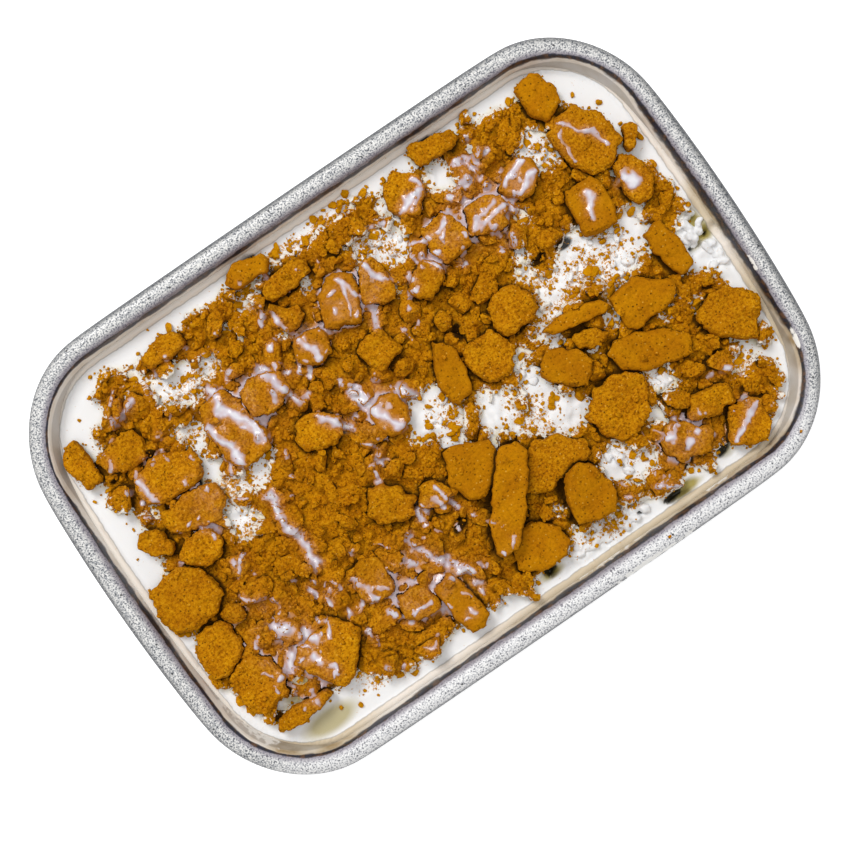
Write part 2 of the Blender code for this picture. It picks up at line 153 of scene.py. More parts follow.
# %% One function for nodes, one for colours
PLACE, ATTRIBUTE = "ShaderNodeTexCoord", "ShaderNodeAttribute"
NOISE, CELLS, RAMP = "ShaderNodeTexNoise", "ShaderNodeTexVoronoi", "ShaderNodeValToRGB"
MIX, RANGE, MATH, BUMP = "ShaderNodeMix", "ShaderNodeMapRange", "ShaderNodeMath", "ShaderNodeBump"


def colour(code):
    """An sRGB hex colour as linear RGBA."""
    values = [int(code[k : k + 2], 16) / 255 for k in (1, 3, 5)]
    return [v / 12.92 if v <= 0.04045 else ((v + 0.055) / 1.055) ** 2.4 for v in values] + [1.0]


def put(material, kind, inputs=None, gives=0, stops=(), **settings):
    """Adds a node and hands back one of its outputs. An input is a number, a hex colour, or the
    output of another node, which gets linked. Stops are a colour ramp's (place, hex) pairs."""
    node = material.node_tree.nodes.new(kind)
    for name, value in settings.items():
        setattr(node, name, value)
    for name, value in (inputs or {}).items():
        if isinstance(value, bpy.types.NodeSocket):
            material.node_tree.links.new(value, node.inputs[name])
        else:
            node.inputs[name].default_value = colour(value) if isinstance(value, str) else value
    for _ in stops[2:]:
        node.color_ramp.elements.new(0.5)
    for k, (position, code) in enumerate(stops):
        node.color_ramp.elements[k].position = position
        node.color_ramp.elements[k].color = colour(code)
    return node.outputs[gives] if node.outputs else node


def empty_material(name):
    material = bpy.data.materials.new(name)
    material.use_nodes = True
    material.node_tree.nodes.clear()
    return material


# %% Short names for the nodes used most
def across_mm(size):
    """The scale that makes a pattern this many millimetres wide."""
    return 1 / (size * MM)


def noise(material, place, size, detail, roughness=0.5):
    inputs = {"Vector": place, "Scale": across_mm(size), "Detail": detail, "Roughness": roughness}
    return put(material, NOISE, inputs)


def cells(material, place, size):
    """How far a point is from the nearest of many scattered dots: round spots, once cut off."""
    return put(material, CELLS, {"Vector": place, "Scale": across_mm(size)}, gives="Distance")


def painted(material, name):
    """A number that was painted on the points."""
    return put(material, ATTRIBUTE, gives="Fac", attribute_name=name)


def mix(material, share, under, over, blend="MIX"):
    """One colour laid over another; the share says how much of it covers."""
    inputs = {0: share, 6: under, 7: over}
    return put(material, MIX, inputs, gives=2, data_type="RGBA", blend_type=blend)


def ramp(material, value, *stops):
    return put(material, RAMP, {"Fac": value}, stops=stops)


def maths(material, operation, *values):
    return put(material, MATH, dict(enumerate(values)), operation=operation)


def spread(material, value, low, high, at_low=0.0, at_high=1.0, smooth=False):
    """Turns low to high into at_low to at_high, and holds still beyond them."""
    inputs = {"Value": value, "From Min": low, "From Max": high}
    inputs.update({"To Min": at_low, "To Max": at_high})
    return put(material, RANGE, inputs, interpolation_type="SMOOTHSTEP" if smooth else "LINEAR")


def surface(material, inputs):
    """Ends a material with its shader."""
    shader = put(material, "ShaderNodeBsdfPrincipled", inputs)
    put(material, "ShaderNodeOutputMaterial", {"Surface": shader})


# %% [markdown]
# ## Camera, light and floor
#
# The photograph looks almost straight down, with the tin turned by about a third of a right
# angle, in soft daylight from its upper left. A large area light stands for the window and a
# pale world for the room. The floor is pale and plain.

# %% The camera
CAMERA_PLACE = Vector((-18.5, 20.2, 700)) * MM
CAMERA_AIM = Vector((-5.94, -5.64, 50)) * MM
PHOTO_UP = Vector((0.565, 0.825, 0))
PHOTO_RIGHT = Vector((0.825, -0.565, 0))
FOCAL_PIXELS = 1472.0
PHOTO_PIXELS = 850

camera = bpy.data.objects.new("camera", bpy.data.cameras.new("camera"))
bpy.context.scene.collection.objects.link(camera)
camera.data.sensor_width = 36
camera.data.lens = FOCAL_PIXELS / PHOTO_PIXELS * camera.data.sensor_width
sight = (CAMERA_AIM - CAMERA_PLACE).normalized()
right = sight.cross(PHOTO_UP).normalized()
up = right.cross(sight)
turn = Matrix((right, up, -sight)).transposed().to_4x4()
camera.matrix_world = Matrix.Translation(CAMERA_PLACE) @ turn
bpy.context.scene.camera = camera
print("lens", round(camera.data.lens, 1), "mm")


# %% Light from the photograph's upper left
def area_light(name, place, size, power):
    lamp = bpy.data.objects.new(name, bpy.data.lights.new(name, "AREA"))
    bpy.context.scene.collection.objects.link(lamp)
    lamp.data.shape = "DISK"
    lamp.data.size = size
    lamp.data.energy = power
    lamp.location = place
    lamp.rotation_euler = (-Vector(place)).to_track_quat("-Z", "Y").to_euler()
    return lamp


window_side = (PHOTO_UP - PHOTO_RIGHT).normalized()
area_light("window", window_side * 1.1 + Vector((0, 0, 1.5)), 0.7, 19)
area_light("ceiling", Vector((0.0, 0.0, 2.2)), 1.6, 14)
world = bpy.data.worlds.new("room")
world.use_nodes = True
world.node_tree.nodes["Background"].inputs["Color"].default_value = colour("#FFFFFF")
world.node_tree.nodes["Background"].inputs["Strength"].default_value = 0.42
bpy.context.scene.world = world
bpy.context.scene.view_settings.view_transform = "Standard"

# %% The floor
pale = empty_material("pale_floor")
glow = {"Emission Color": "#FFFFFF", "Emission Strength": 0.5}
surface(pale, {"Base Color": "#F4F4F4", "Roughness": 0.9, **glow})
bpy.ops.object.select_all(action="DESELECT")
bpy.ops.mesh.primitive_plane_add(size=12, location=(0, 0, 0))
floor = bpy.context.object
floor.name = "floor"
floor.data.materials.append(pale)

# %% [markdown]
# ## The tin
#
# The tin is pressed from sheet steel and has a speckled stone-look coating: a light grey ground
# with fine dark grains. Its imported solid has the right form with few faces. Two rounds of
# subdivision turn its rolled rim truly round. Then each point gets its distance from the rim's
# outer edge, so that painted shade can darken the coating along that edge, and so that it can be
# stained where food met it.

# %% Plan of the tin
HALF_LENGTH, HALF_WIDTH = 165.0, 114.0
CORNER = 52.0
END_BOW, SIDE_BOW = 8.0, 1.2


def inset_of(x, y):
    """How many millimetres a place lies inside the rim's outer edge."""
    end_bow = END_BOW * (y / HALF_WIDTH) ** 2 * (x / HALF_LENGTH) ** 4
    side_bow = SIDE_BOW * (x / HALF_LENGTH) ** 2 * (y / HALF_WIDTH) ** 4
    corner_x = np.abs(x) - (HALF_LENGTH - end_bow - CORNER)
    corner_y = np.abs(y) - (HALF_WIDTH - side_bow - CORNER)
    outward = np.hypot(np.maximum(corner_x, 0), np.maximum(corner_y, 0))
    return CORNER - outward - np.minimum(np.maximum(corner_x, corner_y), 0)


# %% The finer tin
QUAD_BEND = math.radians(60)
tin = copy_of("baking_tin", "speckled_tin")
bpy.ops.object.mode_set(mode="EDIT")
bpy.ops.mesh.select_all(action="SELECT")
bpy.ops.mesh.tris_convert_to_quads(face_threshold=QUAD_BEND, shape_threshold=QUAD_BEND)
bpy.ops.object.mode_set(mode="OBJECT")
modify(tin, "SUBSURF", levels=2, render_levels=2)
shade_soft(tin)
places = points_of(tin)
normals = np.array([v.normal for v in tin.data.vertices])
inset = inset_of(places[:, 0], places[:, 1])
inward = -(normals[:, 0] * places[:, 0] / HALF_LENGTH + normals[:, 1] * places[:, 1] / HALF_WIDTH)
# The side that food can touch: what faces up, and what faces the middle from inside the rim.
upper_side = (normals[:, 2] > 0.05) | ((inset > 5) & (inward > 0.1))
paint(tin, "inset", inset)
paint(tin, "upper_side", upper_side.astype(float))
print("tin:", triangles_in(tin), "triangles")

# %% Where the tin is worn, tanned and smeared
def oval(x, y, spot):
    """1 in the middle of an oval (x, y, half length, half width, heading), and 0 at its edge."""
    turn = math.radians(spot[4])
    along = (x - spot[0]) * math.cos(turn) + (y - spot[1]) * math.sin(turn)
    aside = (y - spot[1]) * math.cos(turn) - (x - spot[0]) * math.sin(turn)
    return np.clip(1 - np.hypot(along / spot[2], aside / spot[3]), 0, 1)


def ovals(x, y, spots):
    """Several ovals at once, each full over most of its width."""
    return np.minimum(sum(oval(x, y, spot) for spot in spots) * 2.2, 1)


SMEARS = [(-152.5, 0, 9, 3, 90), (-152, -20, 9, 3, 90), (-146, -70, 26, 5, -74),
          (152.7, -67, 8, 1.4, 80), (155.5, -29, 6, 1.3, 84), (28, -101, 38, 3.5, 0),
          (88, -101, 14, 3, 0)]
TANNED = [(-130, -96, 45, 16, 0), (60, -102, 120, 7, 0), (153, -60, 45, 9, 90), (154, 5, 16, 6, 90)]
CHIPPED = [(36, -112.5, 20, 2.5, 0), (62, -112.5, 10, 2, 0)]
paint(tin, "smeared", ovals(places[:, 0], places[:, 1], SMEARS))
paint(tin, "tanned", ovals(places[:, 0], places[:, 1], TANNED))
paint(tin, "chipped", ovals(places[:, 0], places[:, 1], CHIPPED))
# Along the front the coating gets a painted highlight, and its painted edge shade is narrower.
FRONT_FROM, FRONT_FULL = 88, 102
# Towards the right end the painted edge shade, and the line of grease and painted shadow, grow
# wider.
RIGHT_DARK_FROM, RIGHT_DARK_FULL = 105, 140
to_front = (-places[:, 1] - FRONT_FROM) / (FRONT_FULL - FRONT_FROM)
to_right = (places[:, 0] - RIGHT_DARK_FROM) / (RIGHT_DARK_FULL - RIGHT_DARK_FROM)
paint(tin, "front", 0.75 * np.clip(to_front, 0, 1))
paint(tin, "right_shade_and_grime", np.clip(to_right, 0, 1))

# %% Its coating
# A sprayed stone-look coating over steel: satin, light grey, full of fine dark grains, each well
# under a millimetre, with a few larger dots. Where the curl turns down outside it is painted dark,
# a painted shade and reflection, and along the front it is painted lighter, a painted highlight
# where it faces the light. The outer wall has the same grains, darker.
coating = empty_material("speckled_coating")
place = put(coating, PLACE, gives="Object")
grain = noise(coating, place, 0.75, 2.0, 0.65)
wobble = noise(coating, place, 9.0, 3.0)
streaks = noise(coating, place, 3.0, 3.0)
inset_here = painted(coating, "inset")
ground = ramp(
    coating, grain, (0.36, "#3E4148"), (0.43, "#8C8F95"), (0.49, "#BFBFBE"), (0.62, "#E6E4E0")
)
# A lighter copy of the ground along the front: a painted highlight.
front = painted(coating, "front")
bright = ramp(
    coating, grain, (0.34, "#303036"), (0.40, "#A8A8AE"), (0.46, "#DCDCDE"), (0.62, "#F4F3F1")
)
body = mix(coating, front, ground, bright)
dots = cells(coating, place, 6.5)
dot_share = spread(coating, dots, 0.07, 0.10, 0.9, 0.0)
body = mix(coating, dot_share, body, "#1A1C22")
# Painted shade: the inner slope of the curl, where it turns down, is painted darker.
slope_shade_share = spread(coating, inset_here, 6.2, 9.4, 0.0, 0.75, smooth=True)
body = mix(coating, slope_shade_share, body, "#7C7482")
# Painted shade and reflection: the outer edge of the curl is painted nearly black, in a band that
# is narrower at the front and wider at the right end.
edge_shade_far = maths(coating, "MULTIPLY_ADD", front, -1.8, 3.4)
right_shade_and_grime = painted(coating, "right_shade_and_grime")
edge_shade_far = maths(coating, "MULTIPLY_ADD", right_shade_and_grime, 1.8, edge_shade_far)
edge_shade_share = spread(coating, inset_here, 0.4, edge_shade_far, 0.96, 0.0, smooth=True)
body = mix(coating, edge_shade_share, body, "#121C27")
chipped = painted(coating, "chipped")
chip_grain = maths(coating, "MULTIPLY", chipped, streaks)
chip_share = spread(coating, chip_grain, 0.42, 0.47)
body = mix(coating, chip_share, body, "#F0EEEA")

# %% The stained wall under the rim
# Cream and syrup dried on the wall as a pale beige film, tan where more of it ran. A nearly
# black, uneven line sits where the film ends under the curl: partly baked-on grease, partly painted
# shadow of the curl.
film = ramp(coating, wobble, (0.3, "#E8DDCB"), (0.5, "#F6EFE4"), (0.7, "#FCF9F4"))
tan = ramp(coating, wobble, (0.3, "#AC9268"), (0.5, "#D2C2A6"), (0.7, "#E8DDCC"))
tanned = painted(coating, "tanned")
film = mix(coating, tanned, film, tan)
line_share = spread(coating, inset_here, 11.62, 11.85, 0.0, 0.45)
film = mix(coating, line_share, film, "#7C766C")
smeared = painted(coating, "smeared")
smear_grain = maths(coating, "MULTIPLY", smeared, streaks)
smear_share = spread(coating, smear_grain, 0.33, 0.45)
film_share = spread(coating, inset_here, 10.3, 10.7, 0.0, 0.97)
body = mix(coating, film_share, body, film)
# The line under the curl: baked-on grease and painted shadow, wider at the right end.
off_line = maths(coating, "SUBTRACT", inset_here, 10.1)
off_line = maths(coating, "ABSOLUTE", off_line)
line_width = spread(coating, wobble, 0.3, 0.7, 0.25, 1.05)
right_shade_and_grime_streaks = maths(coating, "MULTIPLY", right_shade_and_grime, streaks)
line_width = maths(coating, "MULTIPLY_ADD", right_shade_and_grime_streaks, 0.8, line_width)
off_line = maths(coating, "DIVIDE", off_line, line_width)
grease_and_shadow = spread(coating, off_line, 0.5, 1.15, 0.94, 0.0, smooth=True)
grease_and_shadow_colour = ramp(coating, streaks, (0.38, "#11162C"), (0.5, "#0C0A09"), (0.66, "#5A3A1C"))
body = mix(coating, grease_and_shadow, body, grease_and_shadow_colour)
body = mix(coating, smear_share, body, "#F2EFE8")
upper = painted(coating, "upper_side")
outer = mix(coating, 0.4, ground, "#5C6068")
body = mix(coating, upper, outer, body)
rough = spread(coating, grain, 0.3, 0.7, 0.46, 0.32)
relief = put(coating, BUMP, {"Height": grain, "Strength": 1.0, "Distance": 0.04 * MM})
surface(coating, {"Base Color": body, "Roughness": rough, "Normal": relief})
tin.data.materials.append(coating)
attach(tin, "root")
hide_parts("baking_tin")

# %% [markdown]
# ## The cream
#
# Whipped cream was smoothed over the cake, and it creeps up where it meets the tin. A fine grid
# is cut to the tin's plan, its rim is pulled to the tin's wall, and its heights are worked out
# from what is seen: wide soft waves all over, a torn and peaked patch by the right end, and lumps
# along the front. Its rim is then drawn down the wall to the tin's floor, so it is one closed
# cake. Rays sent out from the middle find the wall, so the cream can't come through it.

# %% Soft shapes on the cream
CREAM_LEVEL = 37.0
CREAM_INSET = HALF_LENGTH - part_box("honey_cake")[1].x / MM
MM_A_PIXEL = 0.4524


def seen(px, py, length, width, turn):
    """An oval seen in the photograph, in its pixels and turned clockwise, as one on the cream."""
    across = (px - PHOTO_PIXELS / 2) * MM_A_PIXEL
    down = (py - PHOTO_PIXELS / 2) * MM_A_PIXEL
    place = CAMERA_AIM / MM + PHOTO_RIGHT * across - PHOTO_UP * down
    heading = math.degrees(math.atan2(PHOTO_RIGHT.y, PHOTO_RIGHT.x)) - turn
    return place.x, place.y, length * MM_A_PIXEL, width * MM_A_PIXEL, heading


# Where cream shows through the rubble.
WINDOWS = [
    (182, 392, 24, 9, -10), (214, 366, 13, 14, 0), (160, 386, 11, 7, 10), (141, 376, 10, 8, 0),
    (132, 397, 9, 4, 90), (195, 432, 9, 8, 0), (204, 458, 13, 7, 30), (232, 490, 14, 12, 0),
    (258, 480, 14, 10, -20), (244, 517, 15, 9, 30), (269, 440, 8, 6, 90), (98, 472, 12, 4, 80),
    (163, 512, 13, 8, 20), (246, 290, 9, 5, 45), (248, 307, 11, 8, 0), (230, 329, 9, 6, -50),
    (243, 342, 10, 5, 90), (262, 250, 8, 4, 90), (295, 255, 6, 6, 0), (386, 213, 14, 7, 45),
    (430, 166, 11, 6, 60), (430, 183, 9, 7, 90), (304, 242, 9, 5, 80), (309, 288, 9, 6, 60),
    (398, 290, 7, 5, 0), (353, 283, 8, 5, 70), (522, 220, 13, 9, 60), (521, 256, 14, 7, 80),
    (526, 275, 11, 9, 60), (538, 284, 9, 8, 0), (613, 305, 20, 8, 75), (613, 321, 9, 8, 0),
    (550, 313, 10, 8, 45), (522, 353, 19, 6, 10), (557, 344, 11, 5, 0), (515, 366, 13, 9, 20),
    (534, 371, 9, 6, 0), (484, 397, 14, 11, -45), (510, 393, 13, 8, 0), (576, 406, 12, 6, 20),
    (651, 372, 14, 9, 80), (664, 312, 11, 8, -60), (594, 350, 8, 4, -30), (492, 445, 10, 8, 0),
    (524, 460, 13, 3, 100), (624, 468, 26, 10, 35), (650, 448, 9, 5, 80), (560, 510, 7, 6, 45),
    (612, 532, 17, 15, 0), (584, 559, 18, 6, 20), (506, 595, 10, 7, 60), (547, 577, 10, 6, -40),
    (191, 636, 12, 8, 60), (302, 680, 10, 5, 0), (288, 703, 20, 8, -10), (361, 684, 14, 12, 30),
    (394, 680, 7, 5, 0), (285, 335, 8, 4, 60), (340, 208, 12, 5, -30), (470, 150, 9, 5, 60),
]
WINDOWS = [seen(*spot) for spot in WINDOWS]

# Narrow gaps beside pieces and along the wall, sunk into the cream and painted nearly black as
# painted shadow.
SLOTS = [
    (239, 258, 12, 3, -35), (422, 132, 12, 3, -30), (541, 256, 6, 3, -30),
    (519, 333, 7, 4, -30), (465, 371, 5, 5, 0), (629, 365, 9, 3, -10), (600, 369, 5, 2, -20),
    (192, 484, 13, 3, -30), (157, 452, 11, 4, 0), (119, 481, 7, 3, -40), (676, 498, 15, 4, -30),
    (641, 513, 7, 4, 0), (553, 575, 4, 5, 0), (693, 249, 4, 4, 0), (708, 232, 4, 4, 0),
    (405, 560, 5, 3, 0), (320, 600, 5, 3, 30), (472, 205, 6, 3, -60), (330, 250, 5, 3, 0),
]
SLOTS = [seen(*spot) for spot in SLOTS]
TORN = [(138, -10, 17, 24, 0), (95, 10, 34, 20, 0), (22, -26, 16, 12, 0), (70, -67, 14, 10, 0),
        (30, -94, 30, 8, 0), (0, -10, 14, 12, 0), (46, -36, 14, 16, 30), (24, 71, 14, 8, 0),
        (128, -64, 10, 12, 0)]
HOLLOWS = [(147, 3, 9, 3, 70), (149, -6, 5, 4, -20), (143, -8, 6, 2.5, 20), (127, -22, 5, 3, 40),
           (75, -97, 9, 3.5, 10), (101, -93, 5, 4, 0), (4, -93.5, 4, 3, 0)]


def cream_height(x, y):
    """The cream's surface in millimetres."""
    inside = inset_of(x, y) - CREAM_INSET
    creep = 2.8 * np.clip(1 - inside / 3.4, 0, 1) ** 1.6
    waves = 0.22 * hills(x, y, 26, 1) + 0.12 * hills(x, y, 9, 2)
    torn = np.minimum(sum(np.sqrt(oval(x, y, spot)) for spot in TORN + WINDOWS), 1)
    crags = 0.9 * hills(x, y, 6.0, 3) + 0.8 * hills(x, y, 3.2, 4) + 0.35 * hills(x, y, 1.7, 5)
    hollow = sum(oval(x, y, spot) for spot in HOLLOWS) + sum(oval(x, y, spot) for spot in SLOTS)
    return CREAM_LEVEL + creep + waves + torn * (1.5 * crags + 0.3) - 5.0 * hollow


# %% Where the tin's wall is
RIM_HEIGHT = 39.0
INTO_WALL = 0.25
ROOM_FOR_CELLS = 0.6


def at_wall(x, y, z):
    """The tin's inner wall straight out from the middle, at height z, all in millimetres."""
    outward = Vector((x, y, 0)).normalized()
    place = tin.ray_cast(Vector((0, 0, z * MM)), outward)[1]
    return place / MM + outward * INTO_WALL


def past_wall(x, y):
    """Whether a point of the grid is too near the wall, or beyond it."""
    inset_now = inset_of(x, y)
    if inset_now < CREAM_INSET + 0.2:
        return True
    if inset_now > CREAM_INSET + 4:
        return False
    room = math.hypot(*at_wall(x, y, RIM_HEIGHT).xy) - math.hypot(x, y)
    return room < ROOM_FOR_CELLS


# %% The cream's grid
CELL = 1.0
across, along = int(2 * HALF_LENGTH / CELL), int(2 * HALF_WIDTH / CELL)
bpy.ops.object.select_all(action="DESELECT")
bpy.ops.mesh.primitive_grid_add(x_subdivisions=across, y_subdivisions=along, size=2)
cream = bpy.context.object
cream.name = "whipped_cream"
bpy.ops.transform.resize(value=(HALF_LENGTH * MM, HALF_WIDTH * MM, 1))
bpy.ops.object.transform_apply(location=True, rotation=True, scale=True)
mesh = bmesh.new()
mesh.from_mesh(cream.data)
outside = [vert for vert in mesh.verts if past_wall(vert.co.x / MM, vert.co.y / MM)]
bmesh.ops.delete(mesh, geom=outside, context="VERTS")
for vert in mesh.verts:
    if vert.is_boundary:
        vert.co.xy = at_wall(vert.co.x / MM, vert.co.y / MM, RIM_HEIGHT).xy * MM
mesh.to_mesh(cream.data)
mesh.free()
places = points_of(cream)
places[:, 2] = cream_height(places[:, 0], places[:, 1])
move_points(cream, places)

# %% Its sides and its underside
DROPS = (-14, -14, -7.4)
select_only(cream)
bpy.ops.object.mode_set(mode="EDIT")
bpy.ops.mesh.select_all(action="DESELECT")
bpy.ops.mesh.select_mode(type="EDGE")
bpy.ops.mesh.select_non_manifold()
for drop in DROPS:
    bpy.ops.mesh.extrude_region_move(TRANSFORM_OT_translate={"value": (0, 0, drop * MM)})
    mesh = bmesh.from_edit_mesh(cream.data)
    for vert in mesh.verts:
        if vert.select:
            vert.co.xy = at_wall(vert.co.x / MM, vert.co.y / MM, vert.co.z / MM).xy * MM
    bmesh.update_edit_mesh(cream.data)
bpy.ops.mesh.edge_face_add()
bpy.ops.mesh.select_all(action="SELECT")
bpy.ops.mesh.normals_make_consistent(inside=False)
bpy.ops.object.mode_set(mode="OBJECT")
shade_soft(cream)
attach(cream, "root")
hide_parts("honey_cake")
print("cream:", triangles_in(cream), "triangles, top", round(points_of(cream)[:, 2].max(), 1), "mm")

# %% [markdown]
# ## The broken biscuits
#
# Each big piece is a thick baked biscuit snapped by hand: rounded, grainy, never sharp. Its
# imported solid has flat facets, so a copy is remeshed into even small cells, smoothed until the
# corners are round, and pushed about by soft hills and by two noise textures, one for its uneven
# form and one for the grain of the broken crumb. Pieces that show their baked skin get less.

# %% Two textures that push points about
def cloud(name, size, depth):
    texture = bpy.data.textures.new(name, "CLOUDS")
    texture.noise_scale = size * MM
    texture.noise_depth = depth
    return texture


uneven = cloud("uneven_form", 6.0, 2)
crumbly = cloud("crumbly_grain", 1.5, 1)

# %% The ragged outline and the stepped top of a broken piece
TOP_FACES = 42
BREAK_SIZE, SWELL_SIZE, NICK_SIZE, LEDGE_SIZE = 5.0, 7.5, 1.7, 8.0


def break_up(places, ragged, step):
    """Moves a piece's points: wide breaks, small nicks, and ledges where the biscuit split."""
    for axis in (0, 1):
        places[:, axis] += ragged * hills(places[:, 0], places[:, 1], BREAK_SIZE, 60 + axis)
    swell = 0.5 * ragged * hills(places[:, 0], places[:, 1], SWELL_SIZE, 62)
    places[:, 2] += swell * (places[:, 2] > TOP_FACES)
    for axis in (0, 1):
        places[:, axis] += 0.35 * hills(places[:, 0], places[:, 1], NICK_SIZE, 65 + axis)
    ledge = np.tanh(6 * hills(places[:, 0], places[:, 1], LEDGE_SIZE, 63))
    places[:, 2] += step * (ledge * (places[:, 2] > TOP_FACES))
    return places


# %% The biscuit pieces
SKINNED = {17, 20, 21, 26, 28, 33, 34, 35, 38, 40, 41, 44, 45, 46, 48, 54, 56, 57}
TOP_LIMIT = cad_box[1].z / MM
BISCUIT_CELL = 0.6 * MM
biscuits = []
for number in range(1, 58):
    node = f"biscuit_{number:02d}"
    piece = copy_of(node, f"broken_{node}")
    skinned = number in SKINNED
    rounds, ragged, step = (1, 0.9, 0.3) if skinned else (2, 1.4, 0.55)
    bend, grit = (0.8 * MM, 0.4 * MM) if skinned else (1.1 * MM, 1.0 * MM)
    modify(piece, "REMESH", mode="VOXEL", voxel_size=BISCUIT_CELL)
    modify(piece, "SMOOTH", factor=0.5, iterations=rounds)
    move_points(piece, break_up(points_of(piece), ragged, step))
    modify(piece, "DISPLACE", texture=uneven, strength=bend, mid_level=0.45)
    modify(piece, "DISPLACE", texture=crumbly, strength=grit, mid_level=0.5)
    places = points_of(piece)
    places[:, 2] = np.minimum(places[:, 2], TOP_LIMIT - 0.05)
    move_points(piece, places)
    shade_soft(piece)
    paint(piece, "skin", np.full(len(places), float(skinned)))
    paint(piece, "tone", np.full(len(places), 0.5 + 0.35 * math.sin(number * 2.4)))
    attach(piece, "root")
    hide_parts(node)
    biscuits.append(piece)
print("biscuits:", sum(map(triangles_in, biscuits)), "triangles")

# %% [markdown]
# ## The bed of crumbs
#
# Between the big pieces lies a bed of small lumps and crumbs. The imported solid is remeshed and
# roughened in the same way, and pressed down where dark gaps show between the pieces.

# %% The bed
# Gaps between pieces: the bed is pressed down in them, and later painted nearly black as painted
# shadow.
GAPS = [(-105, 30, 6, 4, 40), (-115, 51, 6, 4, 0), (65, 99, 7, 4, 0), (-30, 100, 7, 4, 0),
        (9, -64, 7, 4, 60), (4, -92, 6, 4, 0), (70, -96, 8, 4, 20), (83, -86, 7, 4, 40),
        (100, -92, 7, 4, 20), (92, 26, 7, 4, 0), (78, 26, 6, 3, 0), (-62, 38, 6, 4, 60),
        (-18, -52, 7, 4, 20), (30, 20, 7, 4, 70), (58, -20, 7, 3, 60)]
GAPS += SLOTS
BED_CELL = 1.12 * MM
# Under a window the bed is pressed down to this height, which is inside the cream.
BED_SUNK = 35.4


def window_share(x, y):
    """1 where cream shows through the bed, with a ragged edge."""
    share = 2.2 * sum(oval(x, y, spot) for spot in WINDOWS)
    ragged = share + 0.45 * hills(x, y, 2.6, 51) + 0.2 * hills(x, y, 1.3, 52)
    return np.clip((ragged - 0.3) / 0.4, 0, 1) * (share > 0)


bed = copy_of("crumb_bed", "packed_crumbs")
modify(bed, "REMESH", mode="VOXEL", voxel_size=BED_CELL)
modify(bed, "SMOOTH", factor=0.5, iterations=2)
modify(bed, "DISPLACE", texture=uneven, strength=1.6 * MM, mid_level=0.6)
modify(bed, "DISPLACE", texture=crumbly, strength=1.1 * MM, mid_level=0.5)
places = points_of(bed)
x, y = places[:, 0], places[:, 1]
places[:, 2] -= 4.0 * ovals(x, y, GAPS) * np.clip((places[:, 2] - 38) / 5, 0, 1)
places[:, 2] -= window_share(x, y) * np.maximum(places[:, 2] - BED_SUNK, 0)
move_points(bed, places)
shade_soft(bed)
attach(bed, "root")
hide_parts("crumb_bed")
paint(bed, "skin", np.zeros(len(bed.data.vertices)))
paint(bed, "tone", 0.5 + 0.5 * hills(*points_of(bed)[:, :2].T, 5.0, 45))
print("bed:", triangles_in(bed), "triangles")

# %% [markdown]
# ## Looking down on the rubble
#
# Crumbs and milk follow what they fall on. Rays sent straight down on a grid of half
# millimetres give the height of the rubble everywhere, and what they hit: cream, crumbs or
# biscuit. Blurring such a map tells how near a place is to something, with no search at all.

# %% Rays straight down
STEP, MAP_INSET = 0.5, 8
map_x = np.arange(-HALF_LENGTH + MAP_INSET, HALF_LENGTH - MAP_INSET, STEP)
map_y = np.arange(-HALF_WIDTH + MAP_INSET, HALF_WIDTH - MAP_INSET, STEP)
grid_x, grid_y = np.meshgrid(map_x, map_y, indexing="ij")
DOWN, ABOVE_ALL = Vector((0, 0, -1)), 0.08


def look_down():
    """Heights in millimetres and what is hit: 0 cream, 1 crumbs, 2 biscuit, 3 tin."""
    kind = {cream.name: 0, bed.name: 1, tin.name: 3, "rubble_lumps": 1, "cream_curds": 0}
    graph = bpy.context.evaluated_depsgraph_get()
    cast = bpy.context.scene.ray_cast
    heights, kinds = np.zeros(grid_x.shape), np.zeros(grid_x.shape, int)
    for i, x in enumerate(map_x):
        for j, y in enumerate(map_y):
            _, spot, _, _, obj, _ = cast(graph, Vector((x * MM, y * MM, ABOVE_ALL)), DOWN)
            heights[i, j] = spot.z / MM
            kinds[i, j] = kind.get(obj.name, 2)
    return heights, kinds


def blurred(field, width, rounds=2):
    """The field averaged over squares of this many millimetres."""
    reach = max(int(width / STEP / 2), 1)
    for _ in range(rounds):
        for axis in (0, 1):
            margins = [(reach + 1, reach) if k == axis else (0, 0) for k in (0, 1)]
            padded = np.pad(field, margins, mode="edge")
            total = np.cumsum(padded, axis=axis)
            size = 2 * reach + 1
            near = np.take(total, range(size, total.shape[axis]), axis=axis)
            far = np.take(total, range(0, total.shape[axis] - size), axis=axis)
            field = (near - far) / size
    return field


def read_map(field, x, y):
    """A map's values at places in millimetres."""
    i = np.clip(np.rint((x - map_x[0]) / STEP).astype(int), 0, len(map_x) - 1)
    j = np.clip(np.rint((y - map_y[0]) / STEP).astype(int), 0, len(map_y) - 1)
    return field[i, j]


rubble, hit_kind = look_down()
print("rays:", rubble.size, "covered", round(((hit_kind == 1) | (hit_kind == 2)).mean(), 2))

# %% [markdown]
# ## Lumps of rubble
#
# Most of the rubble is lumps of five to fifteen millimetres, crumbly, and flat where they broke.
# A few unlike lumps are shaken from a small sphere and cut by flat planes. They are copied over
# the bed, none much inside another, and their surface is roughened like that of the big pieces.

# %% One lump, shaken from a small sphere, and a crumb, shaken from a cube
CUT_AT = 0.27


